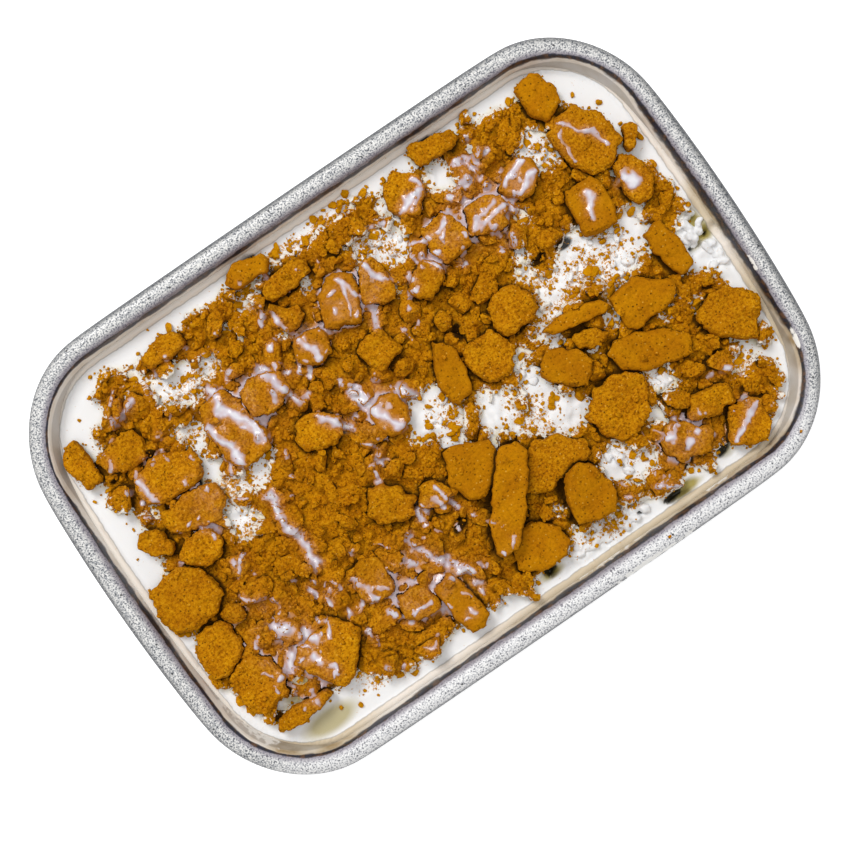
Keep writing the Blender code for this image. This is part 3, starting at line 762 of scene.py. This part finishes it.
def shaken(count, seed, rounds, cuts=0):
    """Points and faces of a few unlike lumps, each about 1 across: from a cube, where rounds is 0,
    or from a sphere divided that many times. Cuts are flat broken faces."""
    shapes = []
    ways = np.random.default_rng(seed).normal(0, 1, (count, max(cuts, 1), 3))
    for k in range(count):
        bpy.ops.object.select_all(action="DESELECT")
        if rounds:
            bpy.ops.mesh.primitive_ico_sphere_add(subdivisions=rounds, radius=0.5)
        else:
            bpy.ops.mesh.primitive_cube_add(size=0.8)
        lump = bpy.context.object
        bpy.ops.object.mode_set(mode="EDIT")
        bpy.ops.mesh.select_all(action="SELECT")
        if not rounds:
            bpy.ops.mesh.bevel(offset=0.2, segments=1)
        bpy.ops.transform.vertex_random(offset=0.15 if rounds else 0.18, seed=seed + k)
        for way in ways[k, :cuts]:
            way = Vector(way).normalized()
            bpy.ops.mesh.select_all(action="SELECT")
            bpy.ops.mesh.bisect(
                plane_co=way * CUT_AT, plane_no=way, use_fill=True, clear_outer=True
            )
        bpy.ops.mesh.select_all(action="SELECT")
        bpy.ops.transform.resize(value=(1.0, 0.62 + 0.08 * (k % 4), 0.5 + 0.1 * (k % 3)))
        bpy.ops.object.mode_set(mode="OBJECT")
        points = np.array([v.co for v in lump.data.vertices])
        shapes.append((points, [list(face.vertices) for face in lump.data.polygons]))
        bpy.data.objects.remove(lump)
    return shapes


def turned(rng, lean):
    """A random turn, mostly about the upright."""
    a, b, c = rng.uniform(0, 2 * math.pi), rng.normal(0, lean), rng.normal(0, lean)
    turn = Matrix.Rotation(a, 3, "Z") @ Matrix.Rotation(b, 3, "X") @ Matrix.Rotation(c, 3, "Y")
    return np.array(turn)


def gathered(name, shapes, spots, rng, lean=0.5):
    """One mesh with a lump at each (x, y, z, size) in millimetres."""
    points, faces, tones, start = [], [], [], 0
    for x, y, z, size in spots:
        shape, sides = shapes[rng.integers(len(shapes))]
        moved = shape @ turned(rng, lean).T * size * MM + np.array((x, y, z)) * MM
        points.append(moved)
        faces += [[start + k for k in side] for side in sides]
        tones.append(np.full(len(moved), rng.uniform(0, 1)))
        start += len(moved)
    mesh = bpy.data.meshes.new(name)
    mesh.from_pydata(np.concatenate(points).tolist(), [], faces)
    obj = bpy.data.objects.new(name, mesh)
    bpy.context.scene.collection.objects.link(obj)
    paint(obj, "tone", np.concatenate(tones))
    return obj


def keep_low(obj):
    """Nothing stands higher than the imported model's top."""
    places = points_of(obj)
    places[:, 2] = np.minimum(places[:, 2], TOP_LIMIT - 0.02)
    move_points(obj, places)


def finish_loose(obj):
    keep_low(obj)
    select_only(obj)
    bpy.ops.object.shade_smooth_by_angle(angle=math.radians(35))
    paint(obj, "skin", np.zeros(len(obj.data.vertices)))
    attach(obj, "root")
    print(obj.name, triangles_in(obj), "triangles")


# %% The heap of lumps
LUMP_COUNT = 420
TRIES = 40000
rng = np.random.default_rng(8)
bed_i, bed_j = np.nonzero(hit_kind == 1)
in_gap = np.maximum(ovals(grid_x, grid_y, GAPS), 1.4 * blurred(window_share(grid_x, grid_y), 5.0))
lump_spots = []
for pick in rng.permutation(len(bed_i))[:TRIES]:
    i, j = bed_i[pick], bed_j[pick]
    size = 4.8 + 12.0 * rng.beta(1.1, 2.2)
    x, y = map_x[i], map_y[j]
    if in_gap[i, j] > 0.3 or inset_of(x, y) < CREAM_INSET + 0.5 * size:
        continue
    if all((x - a) ** 2 + (y - b) ** 2 > (0.40 * (size + s)) ** 2 for a, b, _, s in lump_spots):
        lump_spots.append((x, y, rubble[i, j] + 0.14 * size, size))
    if len(lump_spots) == LUMP_COUNT:
        break
heap = gathered("rubble_lumps", shaken(14, 30, 2, 5), lump_spots, rng, 0.35)
modify(heap, "SUBSURF", levels=1, render_levels=1, subdivision_type="SIMPLE")
modify(heap, "SMOOTH", factor=0.5, iterations=1)
modify(heap, "DISPLACE", texture=uneven, strength=1.2 * MM, mid_level=0.4)
modify(heap, "DISPLACE", texture=crumbly, strength=1.1 * MM, mid_level=0.5)
finish_loose(heap)
places = points_of(heap)
heap.data.attributes.remove(heap.data.attributes["tone"])
paint(heap, "tone", 0.5 + 0.5 * hills(places[:, 0], places[:, 1], 7.0, 46))
print("lumps:", len(lump_spots))
rubble, hit_kind = look_down()

# %% [markdown]
# ## Torn curds of cream
#
# Where the topping was pushed about, the stiff cream tore into small curds. They are shaken lumps
# again, half sunk in the cream and fused by one remesh, and smoothed more than biscuit is.

# %% The curds
# How many lie in each oval of the photograph.
CURDS = [(34, 705, 240, 30, 26, 50), (36, 610, 530, 46, 10, -35), (26, 600, 265, 45, 25, -40),
         (12, 520, 245, 10, 30, 0), (22, 520, 375, 45, 14, -10), (12, 240, 495, 25, 22, 0),
         (8, 440, 410, 18, 16, 0), (10, 660, 385, 14, 14, 0), (8, 625, 465, 20, 10, 30),
         (10, 385, 245, 26, 10, 12), (8, 182, 392, 24, 9, -10), (8, 540, 155, 12, 14, 0)]
rng = np.random.default_rng(23)
curd_spots = []
for count, *spot in CURDS:
    x0, y0, length, width, heading = seen(*spot)
    for _ in range(count):
        reach, way = math.sqrt(rng.uniform(0, 1)), rng.uniform(0, 2 * math.pi)
        a, b = length * reach * math.cos(way), width * reach * math.sin(way)
        turn = math.radians(heading)
        x = x0 + a * math.cos(turn) - b * math.sin(turn)
        y = y0 + a * math.sin(turn) + b * math.cos(turn)
        size = rng.uniform(3.0, 6.5)
        if read_map(hit_kind, x, y) == 0 and inset_of(x, y) > CREAM_INSET + 2:
            curd_spots.append((x, y, read_map(rubble, x, y) + 0.08 * size, size))
curds = gathered("cream_curds", shaken(5, 70, 2), curd_spots, rng, 0.4)
modify(curds, "REMESH", mode="VOXEL", voxel_size=0.55 * MM)
modify(curds, "SMOOTH", factor=0.5, iterations=2)
modify(curds, "DISPLACE", texture=crumbly, strength=0.5 * MM, mid_level=0.5)
keep_low(curds)
shade_soft(curds)
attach(curds, "root")
print("curds:", len(curd_spots), triangles_in(curds), "triangles")
rubble, hit_kind = look_down()

# %% [markdown]
# ## Loose crumbs
#
# Crumbs lie in the pits of the rubble and spill onto the cream, thickest beside the rubble and in
# a few dusted places. They are copied by the thousand into one mesh a size, each turned at random
# and dropped onto what lies under it, so that a copy costs only a few dozen faces.

# %% Where crumbs lie
DUSTED = [(92, 8, 32, 20, 0), (-90, 20, 14, 9, 0), (5, -8, 12, 12, 0), (36, -32, 15, 20, 0),
          (80, 60, 14, 12, 0), (22, 70, 16, 12, 0), (70, -68, 14, 9, 0), (-80, 68, 18, 7, 0),
          (-95, 50, 8, 6, 0), (34, -90, 22, 8, 0), (-98, -2, 9, 8, 0), (-60, 15, 9, 9, 0),
          (128, -66, 10, 8, 0), (92, -44, 8, 7, 0), (128, -26, 9, 9, 0), (-8, 94, 20, 5, 0),
          (12, 96, 12, 5, 0), (107, 67, 7, 9, 0), (-40, 85, 7, 8, 0), (60, 0, 14, 6, -20),
          (-70, -92, 10, 5, 0), (-90, -88, 12, 6, 0)]


def full_ovals(x, y, spots):
    """Ovals that stay high until near their edge, added up."""
    return sum(np.sqrt(oval(x, y, spot)) for spot in spots)


covered = (hit_kind == 1) | (hit_kind == 2)
near_cover = blurred(covered.astype(float), 4.0)
dusted = full_ovals(grid_x, grid_y, DUSTED) + 0.25 * full_ovals(grid_x, grid_y, WINDOWS)
dusted = np.minimum(dusted, 1)
on_cream = hit_kind == 0
inside_tin = inset_of(grid_x, grid_y) > CREAM_INSET + 2.5
patchy = 0.5 + 0.5 * hills(grid_x, grid_y, 4.0, 21)


def crumb_spots(rng, count, sizes, on_bed, on_biscuit, at_edge, in_dust):
    """Places for crumbs: the four numbers say how thickly they lie on each kind of ground."""
    share = np.where(hit_kind == 1, on_bed, 0.0) + np.where(hit_kind == 2, on_biscuit, 0.0)
    edge = at_edge * np.clip(near_cover * 2.6 - 0.2, 0, 1) * patchy
    share += on_cream * (edge + in_dust * dusted * patchy**2)
    share = (share * inside_tin).ravel()
    picks = rng.choice(share.size, size=count, p=share / share.sum())
    x = grid_x.ravel()[picks] + rng.uniform(-0.5, 0.5, count) * STEP
    y = grid_y.ravel()[picks] + rng.uniform(-0.5, 0.5, count) * STEP
    size = sizes[0] + (sizes[1] - sizes[0]) * rng.beta(1.2, 2.6, count)
    z = rubble.ravel()[picks] + 0.16 * size
    return np.column_stack((x, y, z, size))


# %% Crumbs that lie alone on the cream and the rim, by place and size
ALONE = [(-117, 96, 2.6), (-132, 83, 2.2), (-147, 49, 2.4), (-143, 50, 1.3), (-140, 29, 2.2),
         (-146, 17, 1.8), (-141, 33, 1.2), (-84, 99, 1.6), (133, 79, 3.0), (141, 69.5, 3.6),
         (136, 70, 2.0), (139, 68, 1.2), (140, 60, 1.0), (148.5, 45, 1.6), (16, 98.5, 4.6),
         (16.5, 95, 3.2), (23, 99.5, 5.2), (11, 99, 2.6),
         (30, 95, 5.0), (33, 97, 2.2), (8, 97, 1.8), (19, 93, 2.4), (140, 23, 1.6), (142, 21, 1.4),
         (56, -108.5, 2.0), (131, -103, 1.8), (-109, -90, 2.6), (-101, -94, 3.4), (-96, -90, 2.2),
         (-92, -95, 1.8), (148, 6, 2.6), (146, 2, 1.6), (139, -19, 1.8), (144, -25, 1.5)]


def height_at(x, y):
    graph = bpy.context.evaluated_depsgraph_get()
    start = Vector((x * MM, y * MM, ABOVE_ALL))
    return bpy.context.scene.ray_cast(graph, start, DOWN)[1].z / MM


# %% Three sizes of crumb
rng = np.random.default_rng(5)
grains = shaken(7, 60, 0)
chunk_spots = crumb_spots(rng, 460, (3.0, 7.5), 0.25, 0.03, 0.5, 1.7)
crumb_places = crumb_spots(rng, 3600, (1.3, 3.2), 0.4, 0.05, 1.0, 2.2)
alone = np.array([(x, y, height_at(x, y) + 0.16 * size, size) for x, y, size in ALONE])
dust_places = crumb_spots(rng, 6000, (0.5, 1.3), 0.3, 0.10, 0.8, 2.2)
loose = [
    gathered("crumb_chunks", shaken(8, 80, 2, 4), chunk_spots, rng),
    gathered("loose_crumbs", grains, np.concatenate((crumb_places, alone)), rng),
    gathered("crumb_dust", shaken(7, 90, 1), dust_places, rng),
]
for piece in loose:
    finish_loose(piece)

# %% [markdown]
# ## The milky drizzle
#
# Thin sweetened milk was dripped over the rubble. It lies in short strokes, blobs and pools with
# soft edges, fills the pits under it and runs down the sides of pieces. A map of strokes gives
# how thick it is, and a smoothed map of the rubble gives what it lies on. Where it ends it dips
# into the rubble, so its edge is where the two surfaces meet, as with a real liquid.

# %% The strokes
DRIZZLE = [
    (2.6, (-76, 61), (-77, 52), (-73, 46), (-70, 40), (-69, 30)),
    (2.4, (-86, 48), (-84, 42), (-82, 35), (-82, 23)),
    (2.3, (-81, 8), (-81, 0), (-82, -8), (-80, -22), (-82, -30)),
    (2.0, (-52, 56), (-48, 42), (-46, 33)),
    (1.5, (-34, 72), (-33, 62), (-28, 49), (-26, 45)),
    (1.8, (-42, 24), (-36, 14), (-34, 11)),
    (2.9, (-24, 24), (-19, 10), (-15, -1)),
    (2.8, (-6, 14), (-3, 8), (-8, -2)),
    (1.9, (11, 69), (14, 62), (17, 57)),
    (1.5, (-2, 68), (1, 58)),
    (1.6, (4, 50), (0, 42)),
    (1.7, (36, 57), (40, 46)),
    (1.5, (33, 67), (42, 62)),
    (1.4, (47, 61), (56, 67)),
    (2.4, (39, 79), (50, 81)),
    (1.6, (61, 54), (74, 59)),
    (1.5, (64, 52), (80, 56)),
    (1.7, (84, 63), (97, 68)),
    (1.6, (86, 55), (97, 60)),
    (1.1, (118, 71), (129, 60), (132, 51)),
    (0.9, (117, 67), (115, 53)),
    (2.0, (113, 39), (108, 28)),
    (2.2, (130, 36), (133, 31)),
    (1.5, (65, 75), (72, 75)),
    (1.4, (70, 82), (80, 82)),
    (1.6, (85, 79), (86, 79)),
    (1.6, (64, 68), (65, 68)),
    (1.4, (78, 72), (79, 72)),
    (1.5, (-115, 73), (-108, 77)),
    (3.4, (-112, -42), (-108, -46)),
    (2.6, (-104, -52), (-100, -56)),
    (2.2, (-105, -62), (-104, -66)),
    (2.4, (-117, -62), (-114, -58)),
    (1.2, (-118, -22), (-116, -25)),
    (1.0, (-115, -27), (-108, -30)),
    (1.8, (-126, 46), (-122, 34)),
    (1.2, (-72, -45), (-67, -58)),
    (1.4, (-67, -67), (-66, -67)),
    (1.7, (-40, -42), (-41, -49), (-33, -62), (-25, -74)),
    (0.9, (-37, -6), (-28, -9)),
    (0.9, (-34, 4), (-28, -2)),
    (1.4, (-18, -32), (-14, -44)),
    (2.2, (80, -72), (82, -73)),
    (1.2, (85, -81), (88, -78)),
    (1.4, (92, -78), (93, -78)),
    (1.3, (65, -87), (76, -96)),
    (1.4, (120, -62), (121, -63)),
    (1.2, (126, -67), (127, -67)),
    (1.3, (112, -60), (115, -60)),
    (1.3, (106, -91), (122, -82)),
    (1.6, (-27, -79), (-26, -80)),
    (1.2, (-40, -88), (-39, -88)),
    (1.2, (-48, -80), (-47, -80)),
    (1.3, (52, -78), (53, -78)),
    (1.1, (51, -85), (52, -85)),
    (1.0, (-62, -87), (-58, -90), (-55, -88)),
]

# Small drips, too many to list: how many fall in each oval, all seeded.
DRIPS = [(55, -95, 35, 42, 60), (45, -20, 55, 50, 40), (45, 60, 62, 45, 30), (60, -85, -62, 45, 32),
         (22, -25, -65, 25, 28), (16, 85, -78, 40, 16), (10, -20, -5, 25, 25)]
drip_rng = np.random.default_rng(17)
for count, x0, y0, length, width in DRIPS:
    for _ in range(count):
        reach, way = math.sqrt(drip_rng.uniform(0, 1)), drip_rng.uniform(0, 2 * math.pi)
        x, y = x0 + length * reach * math.cos(way), y0 + width * reach * math.sin(way)
        heading, run = math.radians(drip_rng.normal(70, 38)), drip_rng.exponential(2.4)
        end = (x + run * math.cos(heading), y + run * math.sin(heading))
        DRIZZLE.append((drip_rng.uniform(0.7, 1.5), (x, y), end))


def stroke_depth(x, y, half_width, points):
    """1 along the middle of a stroke, 0 at its edge and less outside."""
    nearest = np.full(np.shape(x), 1e9)
    for (x1, y1), (x2, y2) in zip(points, points[1:]):
        span = max((x2 - x1) ** 2 + (y2 - y1) ** 2, 1e-6)
        share = np.clip(((x - x1) * (x2 - x1) + (y - y1) * (y2 - y1)) / span, 0, 1)
        off_x, off_y = x - x1 - share * (x2 - x1), y - y1 - share * (y2 - y1)
        nearest = np.minimum(nearest, np.hypot(off_x, off_y))
    return 1 - nearest / half_width


# %% The milk as a map
WIDEN = 1.3
heights_now, _ = look_down()
wander_x = grid_x + 1.6 * hills(grid_x, grid_y, 5.0, 41) + 0.5 * hills(grid_x, grid_y, 1.6, 47)
wander_y = grid_y + 1.6 * hills(grid_x, grid_y, 5.0, 42) + 0.5 * hills(grid_x, grid_y, 1.6, 48)
milk = np.full(grid_x.shape, -9.0)
for half_width, *points in DRIZZLE:
    low = np.min(points, axis=0) - half_width * WIDEN - 4
    high = np.max(points, axis=0) + half_width * WIDEN + 4
    i0, i1 = np.searchsorted(map_x, (low[0], high[0]))
    j0, j1 = np.searchsorted(map_y, (low[1], high[1]))
    part = stroke_depth(wander_x[i0:i1, j0:j1], wander_y[i0:i1, j0:j1], half_width * WIDEN, points)
    part = np.minimum(part, 0.25 + 0.30 * half_width)
    milk[i0:i1, j0:j1] = np.maximum(milk[i0:i1, j0:j1], part)
milk += 0.30 * hills(grid_x, grid_y, 2.4, 43) - np.where(hit_kind == 0, 1.5 * (1 - near_cover), 0)

# %% Milk that stands in the crevices of the wettest places
WET_ZONES = [(-112, -52, 24, 34, 0), (-100, 22, 22, 22, 0), (-20, 12, 16, 18, 0),
             (-50, -62, 30, 26, 0), (85, -80, 24, 14, 0), (-70, 45, 26, 24, 0),
             (0, 60, 30, 18, 0), (62, 60, 30, 22, 0)]
wet_zone = np.minimum(sum(oval(grid_x, grid_y, spot) for spot in WET_ZONES) * 1.6, 1)
brim = blurred(heights_now, 6.0) - 1.3 - 2.5 * (1 - wet_zone) + 0.5 * hills(grid_x, grid_y, 7.0, 49)
standing = np.where((wet_zone > 0) & (hit_kind != 0) & inside_tin, brim - heights_now, -1.0)

# %% The milk as a skin over the rubble
MILK_DEPTH = 0.5
bed_of_milk = np.maximum(blurred(heights_now, 1.5), heights_now - 0.25)
rise = np.clip(milk, 0, 1)
stroke_top = bed_of_milk + MILK_DEPTH * rise * (2 - rise) - 0.08 - 1.2 * np.clip(-milk, 0, 1)
skin_height = np.where(milk > -0.3, np.maximum(stroke_top, np.where(standing > 0, brim, -99)), brim)
keep = (milk > -0.35) | (standing > -0.35)
depth = np.maximum(milk, np.clip(standing / 2.2, -1, 0.62))
bpy.ops.object.select_all(action="DESELECT")
across, along = len(map_x) - 1, len(map_y) - 1
bpy.ops.mesh.primitive_grid_add(x_subdivisions=across, y_subdivisions=along, size=2)
drizzle = bpy.context.object
drizzle.name = "milk_drizzle"
spans = np.array(((map_x[-1] - map_x[0]) / 2, (map_y[-1] - map_y[0]) / 2, 1))
middle = np.array(((map_x[-1] + map_x[0]) / 2, (map_y[-1] + map_y[0]) / 2, 0))
places = points_of(drizzle) * MM * spans + middle
places[:, 2] = read_map(skin_height, places[:, 0], places[:, 1])
move_points(drizzle, places)
shown = read_map(keep, places[:, 0], places[:, 1])
mesh = bmesh.new()
mesh.from_mesh(drizzle.data)
mesh.verts.ensure_lookup_table()
bmesh.ops.delete(mesh, geom=[mesh.verts[k] for k in np.flatnonzero(~shown)], context="VERTS")
mesh.to_mesh(drizzle.data)
mesh.free()
modify(drizzle, "SOLIDIFY", thickness=0.5 * MM, offset=-1)
modify(drizzle, "SMOOTH", factor=0.4, iterations=2)
shade_soft(drizzle)
keep_low(drizzle)
places = points_of(drizzle)
paint(drizzle, "depth", read_map(depth, places[:, 0], places[:, 1]))
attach(drizzle, "root")
print("drizzle:", triangles_in(drizzle), "triangles")

# %% [markdown]
# ## What each point remembers
#
# Milk soaks into the biscuit around it, which turns darker, redder and shiny. Biscuit in turn
# stains the cream a faint yellow, and cream sticks to the crumbs beside it. Low places between
# pieces are painted dark, a painted shade for the little light they get, and the gaps are painted
# nearly black, a painted shadow; a crumb loose on the cream gets a painted highlight instead. All
# of it comes from blurred maps, painted on the points for the materials to read.

# %% Painting the maps onto the points
wet = np.clip(blurred((depth > 0).astype(float), 4.0) * 2.0, 0, 1)
wet = np.maximum(wet, 0.8 * wet_zone) * (0.6 + 0.4 * hills(grid_x, grid_y, 3.5, 44))
stain = blurred(covered.astype(float), 5.0)
creamy = blurred(on_cream.astype(float) * inside_tin, 5.0)
around, beside = blurred(rubble, 5.0), blurred(rubble, 2.5)
cream_near = blurred(on_cream.astype(float), 1.0)
crumbly_pieces = [*biscuits, bed, heap, *loose]
for piece in crumbly_pieces:
    x, y, z = points_of(piece).T
    rubble_field = piece in (bed, heap)
    paint(piece, "wet", np.clip(read_map(wet, x, y), 0, 1))
    paint(piece, "creamy", rubble_field * np.clip(read_map(creamy, x, y), 0, 1))
    # Painted shade: points lower than the rubble around them are painted darker.
    below_shade = (read_map(around, x, y) - z - 0.7) / 4.0
    crevice_shade = (read_map(beside, x, y) - z - 0.3) / 1.8
    # A crumb that lies loose on the cream gets no painted shade, and is painted a lighter gold: a
    # painted highlight for the full light on it.
    golden = read_map(cream_near, x, y) * (piece in loose)
    paint(piece, "low", (1 - golden) * np.clip(np.maximum(below_shade, crevice_shade), 0, 1))
    # Painted shadow: the rubble in the gaps is painted nearly black.
    paint(piece, "rubble_gap_shadow", ovals(x, y, GAPS) * rubble_field)
    paint(piece, "golden", golden)

# %% Painting the cream
POOLS = [(-117, -74, 14, 6, 0), (-116, -92, 17, 7, 0), (148, -2, 5, 9, 0), (75, -97, 12, 3, 0),
         (4, -94, 8, 3, 0)]
for piece in (cream, curds):
    x, y, _ = points_of(piece).T
    paint(piece, "stain", read_map(stain, x, y))
    paint(piece, "inside", inset_of(x, y) - CREAM_INSET + 9 * (piece is curds))
    paint(piece, "tanned", ovals(x, y, TANNED))
    paint(piece, "dusted", read_map(dusted * (0.4 + 0.6 * patchy), x, y))
    pooled = 0.8 * ovals(x, y, POOLS) + sum(oval(x, y, spot) for spot in HOLLOWS)
    paint(piece, "pooled", np.clip(pooled, 0, 1) * (piece is cream))
    # The cream in the gaps is painted nearly black: painted shadow.
    paint(piece, "cream_gap_shadow", ovals(x, y, GAPS) * (piece is cream))

# %% [markdown]
# ## Biscuit
#
# Ginger biscuit is baked from flour, honey and butter: matt, granular, golden brown, with dark
# pits where it broke and lighter grains of sugar. It scatters light between its grains, so it has
# next to no gloss of its own and its colour stays pure. Wet biscuit is redder and shines.

# %% The biscuit's material
biscuit = empty_material("baked_ginger_biscuit")
place = put(biscuit, PLACE, gives="Object")
grain = noise(biscuit, place, 1.2, 4.0, 0.75)
fine = noise(biscuit, place, 0.7, 1.0)
blotch = noise(biscuit, place, 9.0, 2.0)
smear = noise(biscuit, place, 2.6, 4.0, 0.65)
skin = painted(biscuit, "skin")
tone = painted(biscuit, "tone")
wet_here = painted(biscuit, "wet")
low = painted(biscuit, "low")
creamy_here = painted(biscuit, "creamy")
broken = ramp(
    biscuit, grain, (0.32, "#6A3E00"), (0.42, "#AC6C00"), (0.52, "#CB8600"), (0.68, "#E0A418")
)
baked = ramp(
    biscuit, grain, (0.28, "#8E5A00"), (0.42, "#B87800"), (0.60, "#C98400"), (0.76, "#D6931A")
)
body = mix(biscuit, skin, broken, baked)
shade = ramp(biscuit, blotch, (0.35, "#E4D4BE"), (0.65, "#FFFFFF"))
body = mix(biscuit, 0.7, body, shade, "MULTIPLY")
pits = cells(biscuit, place, 2.0)
pit_share = spread(biscuit, pits, 0.14, 0.26, 0.9, 0.0)
pit_here = spread(biscuit, fine, 0.42, 0.52)
pit_share = maths(biscuit, "MULTIPLY", pit_share, pit_here)
body = mix(biscuit, pit_share, body, "#281400")
sugar = cells(biscuit, place, 2.7)
sugar_share = spread(biscuit, sugar, 0.08, 0.15, 0.7, 0.0)
body = mix(biscuit, sugar_share, body, "#EBB548")
tone_share = spread(biscuit, tone, 0.0, 1.0, 0.26, 0.0)
body = mix(biscuit, tone_share, body, "#945C00")
soaked = ramp(biscuit, grain, (0.3, "#7E4606"), (0.5, "#B8701C"), (0.7, "#D08C40"))
soak_share = maths(biscuit, "MULTIPLY", wet_here, 0.7)
body = mix(biscuit, soak_share, body, soaked)
# Painted shade in the low places between pieces.
low_shade_share = spread(biscuit, low, 0.0, 1.0, 0.0, 0.92, smooth=True)
body = mix(biscuit, low_shade_share, body, "#2A1700")
# Painted highlight: loose crumbs on the cream are painted a lighter gold.
golden = painted(biscuit, "golden")
full_light_share = maths(biscuit, "MULTIPLY", golden, 0.65)
body = mix(biscuit, full_light_share, body, "#D09000")
# Painted shadow, nearly black, in the gaps between pieces.
rubble_gap_shadow_here = painted(biscuit, "rubble_gap_shadow")
rubble_gap_shadow_share = spread(biscuit, rubble_gap_shadow_here, 0.4, 0.95, 0.0, 0.95)
body = mix(biscuit, rubble_gap_shadow_share, body, "#140A00")
smear_sum = maths(biscuit, "MULTIPLY_ADD", creamy_here, 0.5, smear)
smear_share = spread(biscuit, smear_sum, 0.66, 0.71)
near_cream = spread(biscuit, creamy_here, 0.03, 0.12)
smear_share = maths(biscuit, "MULTIPLY", smear_share, near_cream)
body = mix(biscuit, smear_share, body, "#EFEADF")
height = maths(biscuit, "MULTIPLY_ADD", pits, 0.5, grain)
relief = put(biscuit, BUMP, {"Height": height, "Strength": 1.0, "Distance": 0.6 * MM})
gloss = spread(biscuit, wet_here, 0.3, 0.9, 0.0, 0.7)
coat = {"Coat Weight": gloss, "Coat Roughness": 0.22}
dry = {"Roughness": 0.85, "Specular IOR Level": 0.08}
surface(biscuit, {"Base Color": body, **dry, **coat, "Normal": relief})
for piece in crumbly_pieces:
    piece.data.materials.append(biscuit)

# %% [markdown]
# ## Whipped cream
#
# Whipped cream is nearly white and lets light sink in a little. Near biscuit it is stained
# yellow, in dusted places fine crumb too small to model lies on it, and where syrup stands in a
# hollow it turns olive.

# %% Light that sinks in
def sunk_light(weight, radius, depth):
    """Settings that let light go this many millimetres into a soft white food."""
    settings = {"Subsurface Weight": weight, "Subsurface Radius": radius}
    return {**settings, "Subsurface Scale": depth * MM}


# %% The cream's material
whipped = empty_material("whipped_cream")
place = put(whipped, PLACE, gives="Object")
soft = noise(whipped, place, 5.0, 3.0)
specks = noise(whipped, place, 1.5, 4.0, 0.7)
stained = painted(whipped, "stain")
dusted_here = painted(whipped, "dusted")
pooled = painted(whipped, "pooled")
stain_near = spread(whipped, stained, 0.1, 0.75, 0.0, 0.75, smooth=True)
stain_patch = spread(whipped, soft, 0.38, 0.62)
stain_share = maths(whipped, "MULTIPLY", stain_near, stain_patch)
body = mix(whipped, stain_share, "#E9E9E9", "#DFD1A0")
body = mix(whipped, pooled, body, "#A89A58")
inside_here = painted(whipped, "inside")
tanned_here = painted(whipped, "tanned")
dried = mix(whipped, tanned_here, "#E6DCD0", "#CCBB9E")
wandering = maths(whipped, "MULTIPLY_ADD", soft, 1.6, inside_here)
dried_share = spread(whipped, wandering, 2.7, 3.1, 0.95, 0.0)
body = mix(whipped, dried_share, body, dried)
off_edge = maths(whipped, "SUBTRACT", wandering, 2.95)
off_edge = maths(whipped, "ABSOLUTE", off_edge)
edge_line = spread(whipped, off_edge, 0.1, 0.4, 0.5, 0.0)
body = mix(whipped, edge_line, body, "#8C867C")
# Painted shadow: nearly black in the gaps beside pieces and along the wall.
cream_gap_shadow_here = painted(whipped, "cream_gap_shadow")
cream_gap_shadow_share = spread(whipped, cream_gap_shadow_here, 0.6, 1.0, 0.0, 0.97)
body = mix(whipped, cream_gap_shadow_share, body, "#14120A")
dust_sum = maths(whipped, "MULTIPLY_ADD", dusted_here, 0.26, specks)
edge_sum = maths(whipped, "MULTIPLY_ADD", stained, 0.12, dust_sum)
dust_share = spread(whipped, edge_sum, 0.67, 0.74, 0.0, 0.92)
body = mix(whipped, dust_share, body, "#C98C10")
relief = put(whipped, BUMP, {"Height": soft, "Strength": 1.0, "Distance": 0.1 * MM})
sheen = {"Roughness": 0.45, "Specular IOR Level": 0.3, **sunk_light(0.2, (1.0, 0.9, 0.8), 1.2)}
surface(whipped, {"Base Color": body, **sheen, "Normal": relief})
cream.data.materials.append(whipped)
curds.data.materials.append(whipped)

# %% [markdown]
# ## Milk
#
# The drizzle is a thin milk: white where it is thick, and mauve, then tinted by the biscuit, where
# it thins out. Its surface is wet and mirror-smooth.

# %% The milk's material
milky = empty_material("sweetened_milk")
depth_here = painted(milky, "depth")
thin = ((0.0, "#B87828"), (0.18, "#BC8A5E"), (0.42, "#C0A09A"))
body = ramp(milky, depth_here, *thin, (0.68, "#C6BAC2"), (0.98, "#DAD7DC"))
surface(milky, {"Base Color": body, "Roughness": 0.2, **sunk_light(0.1, (1.0, 0.8, 0.7), 1.0)})
drizzle.data.materials.append(milky)
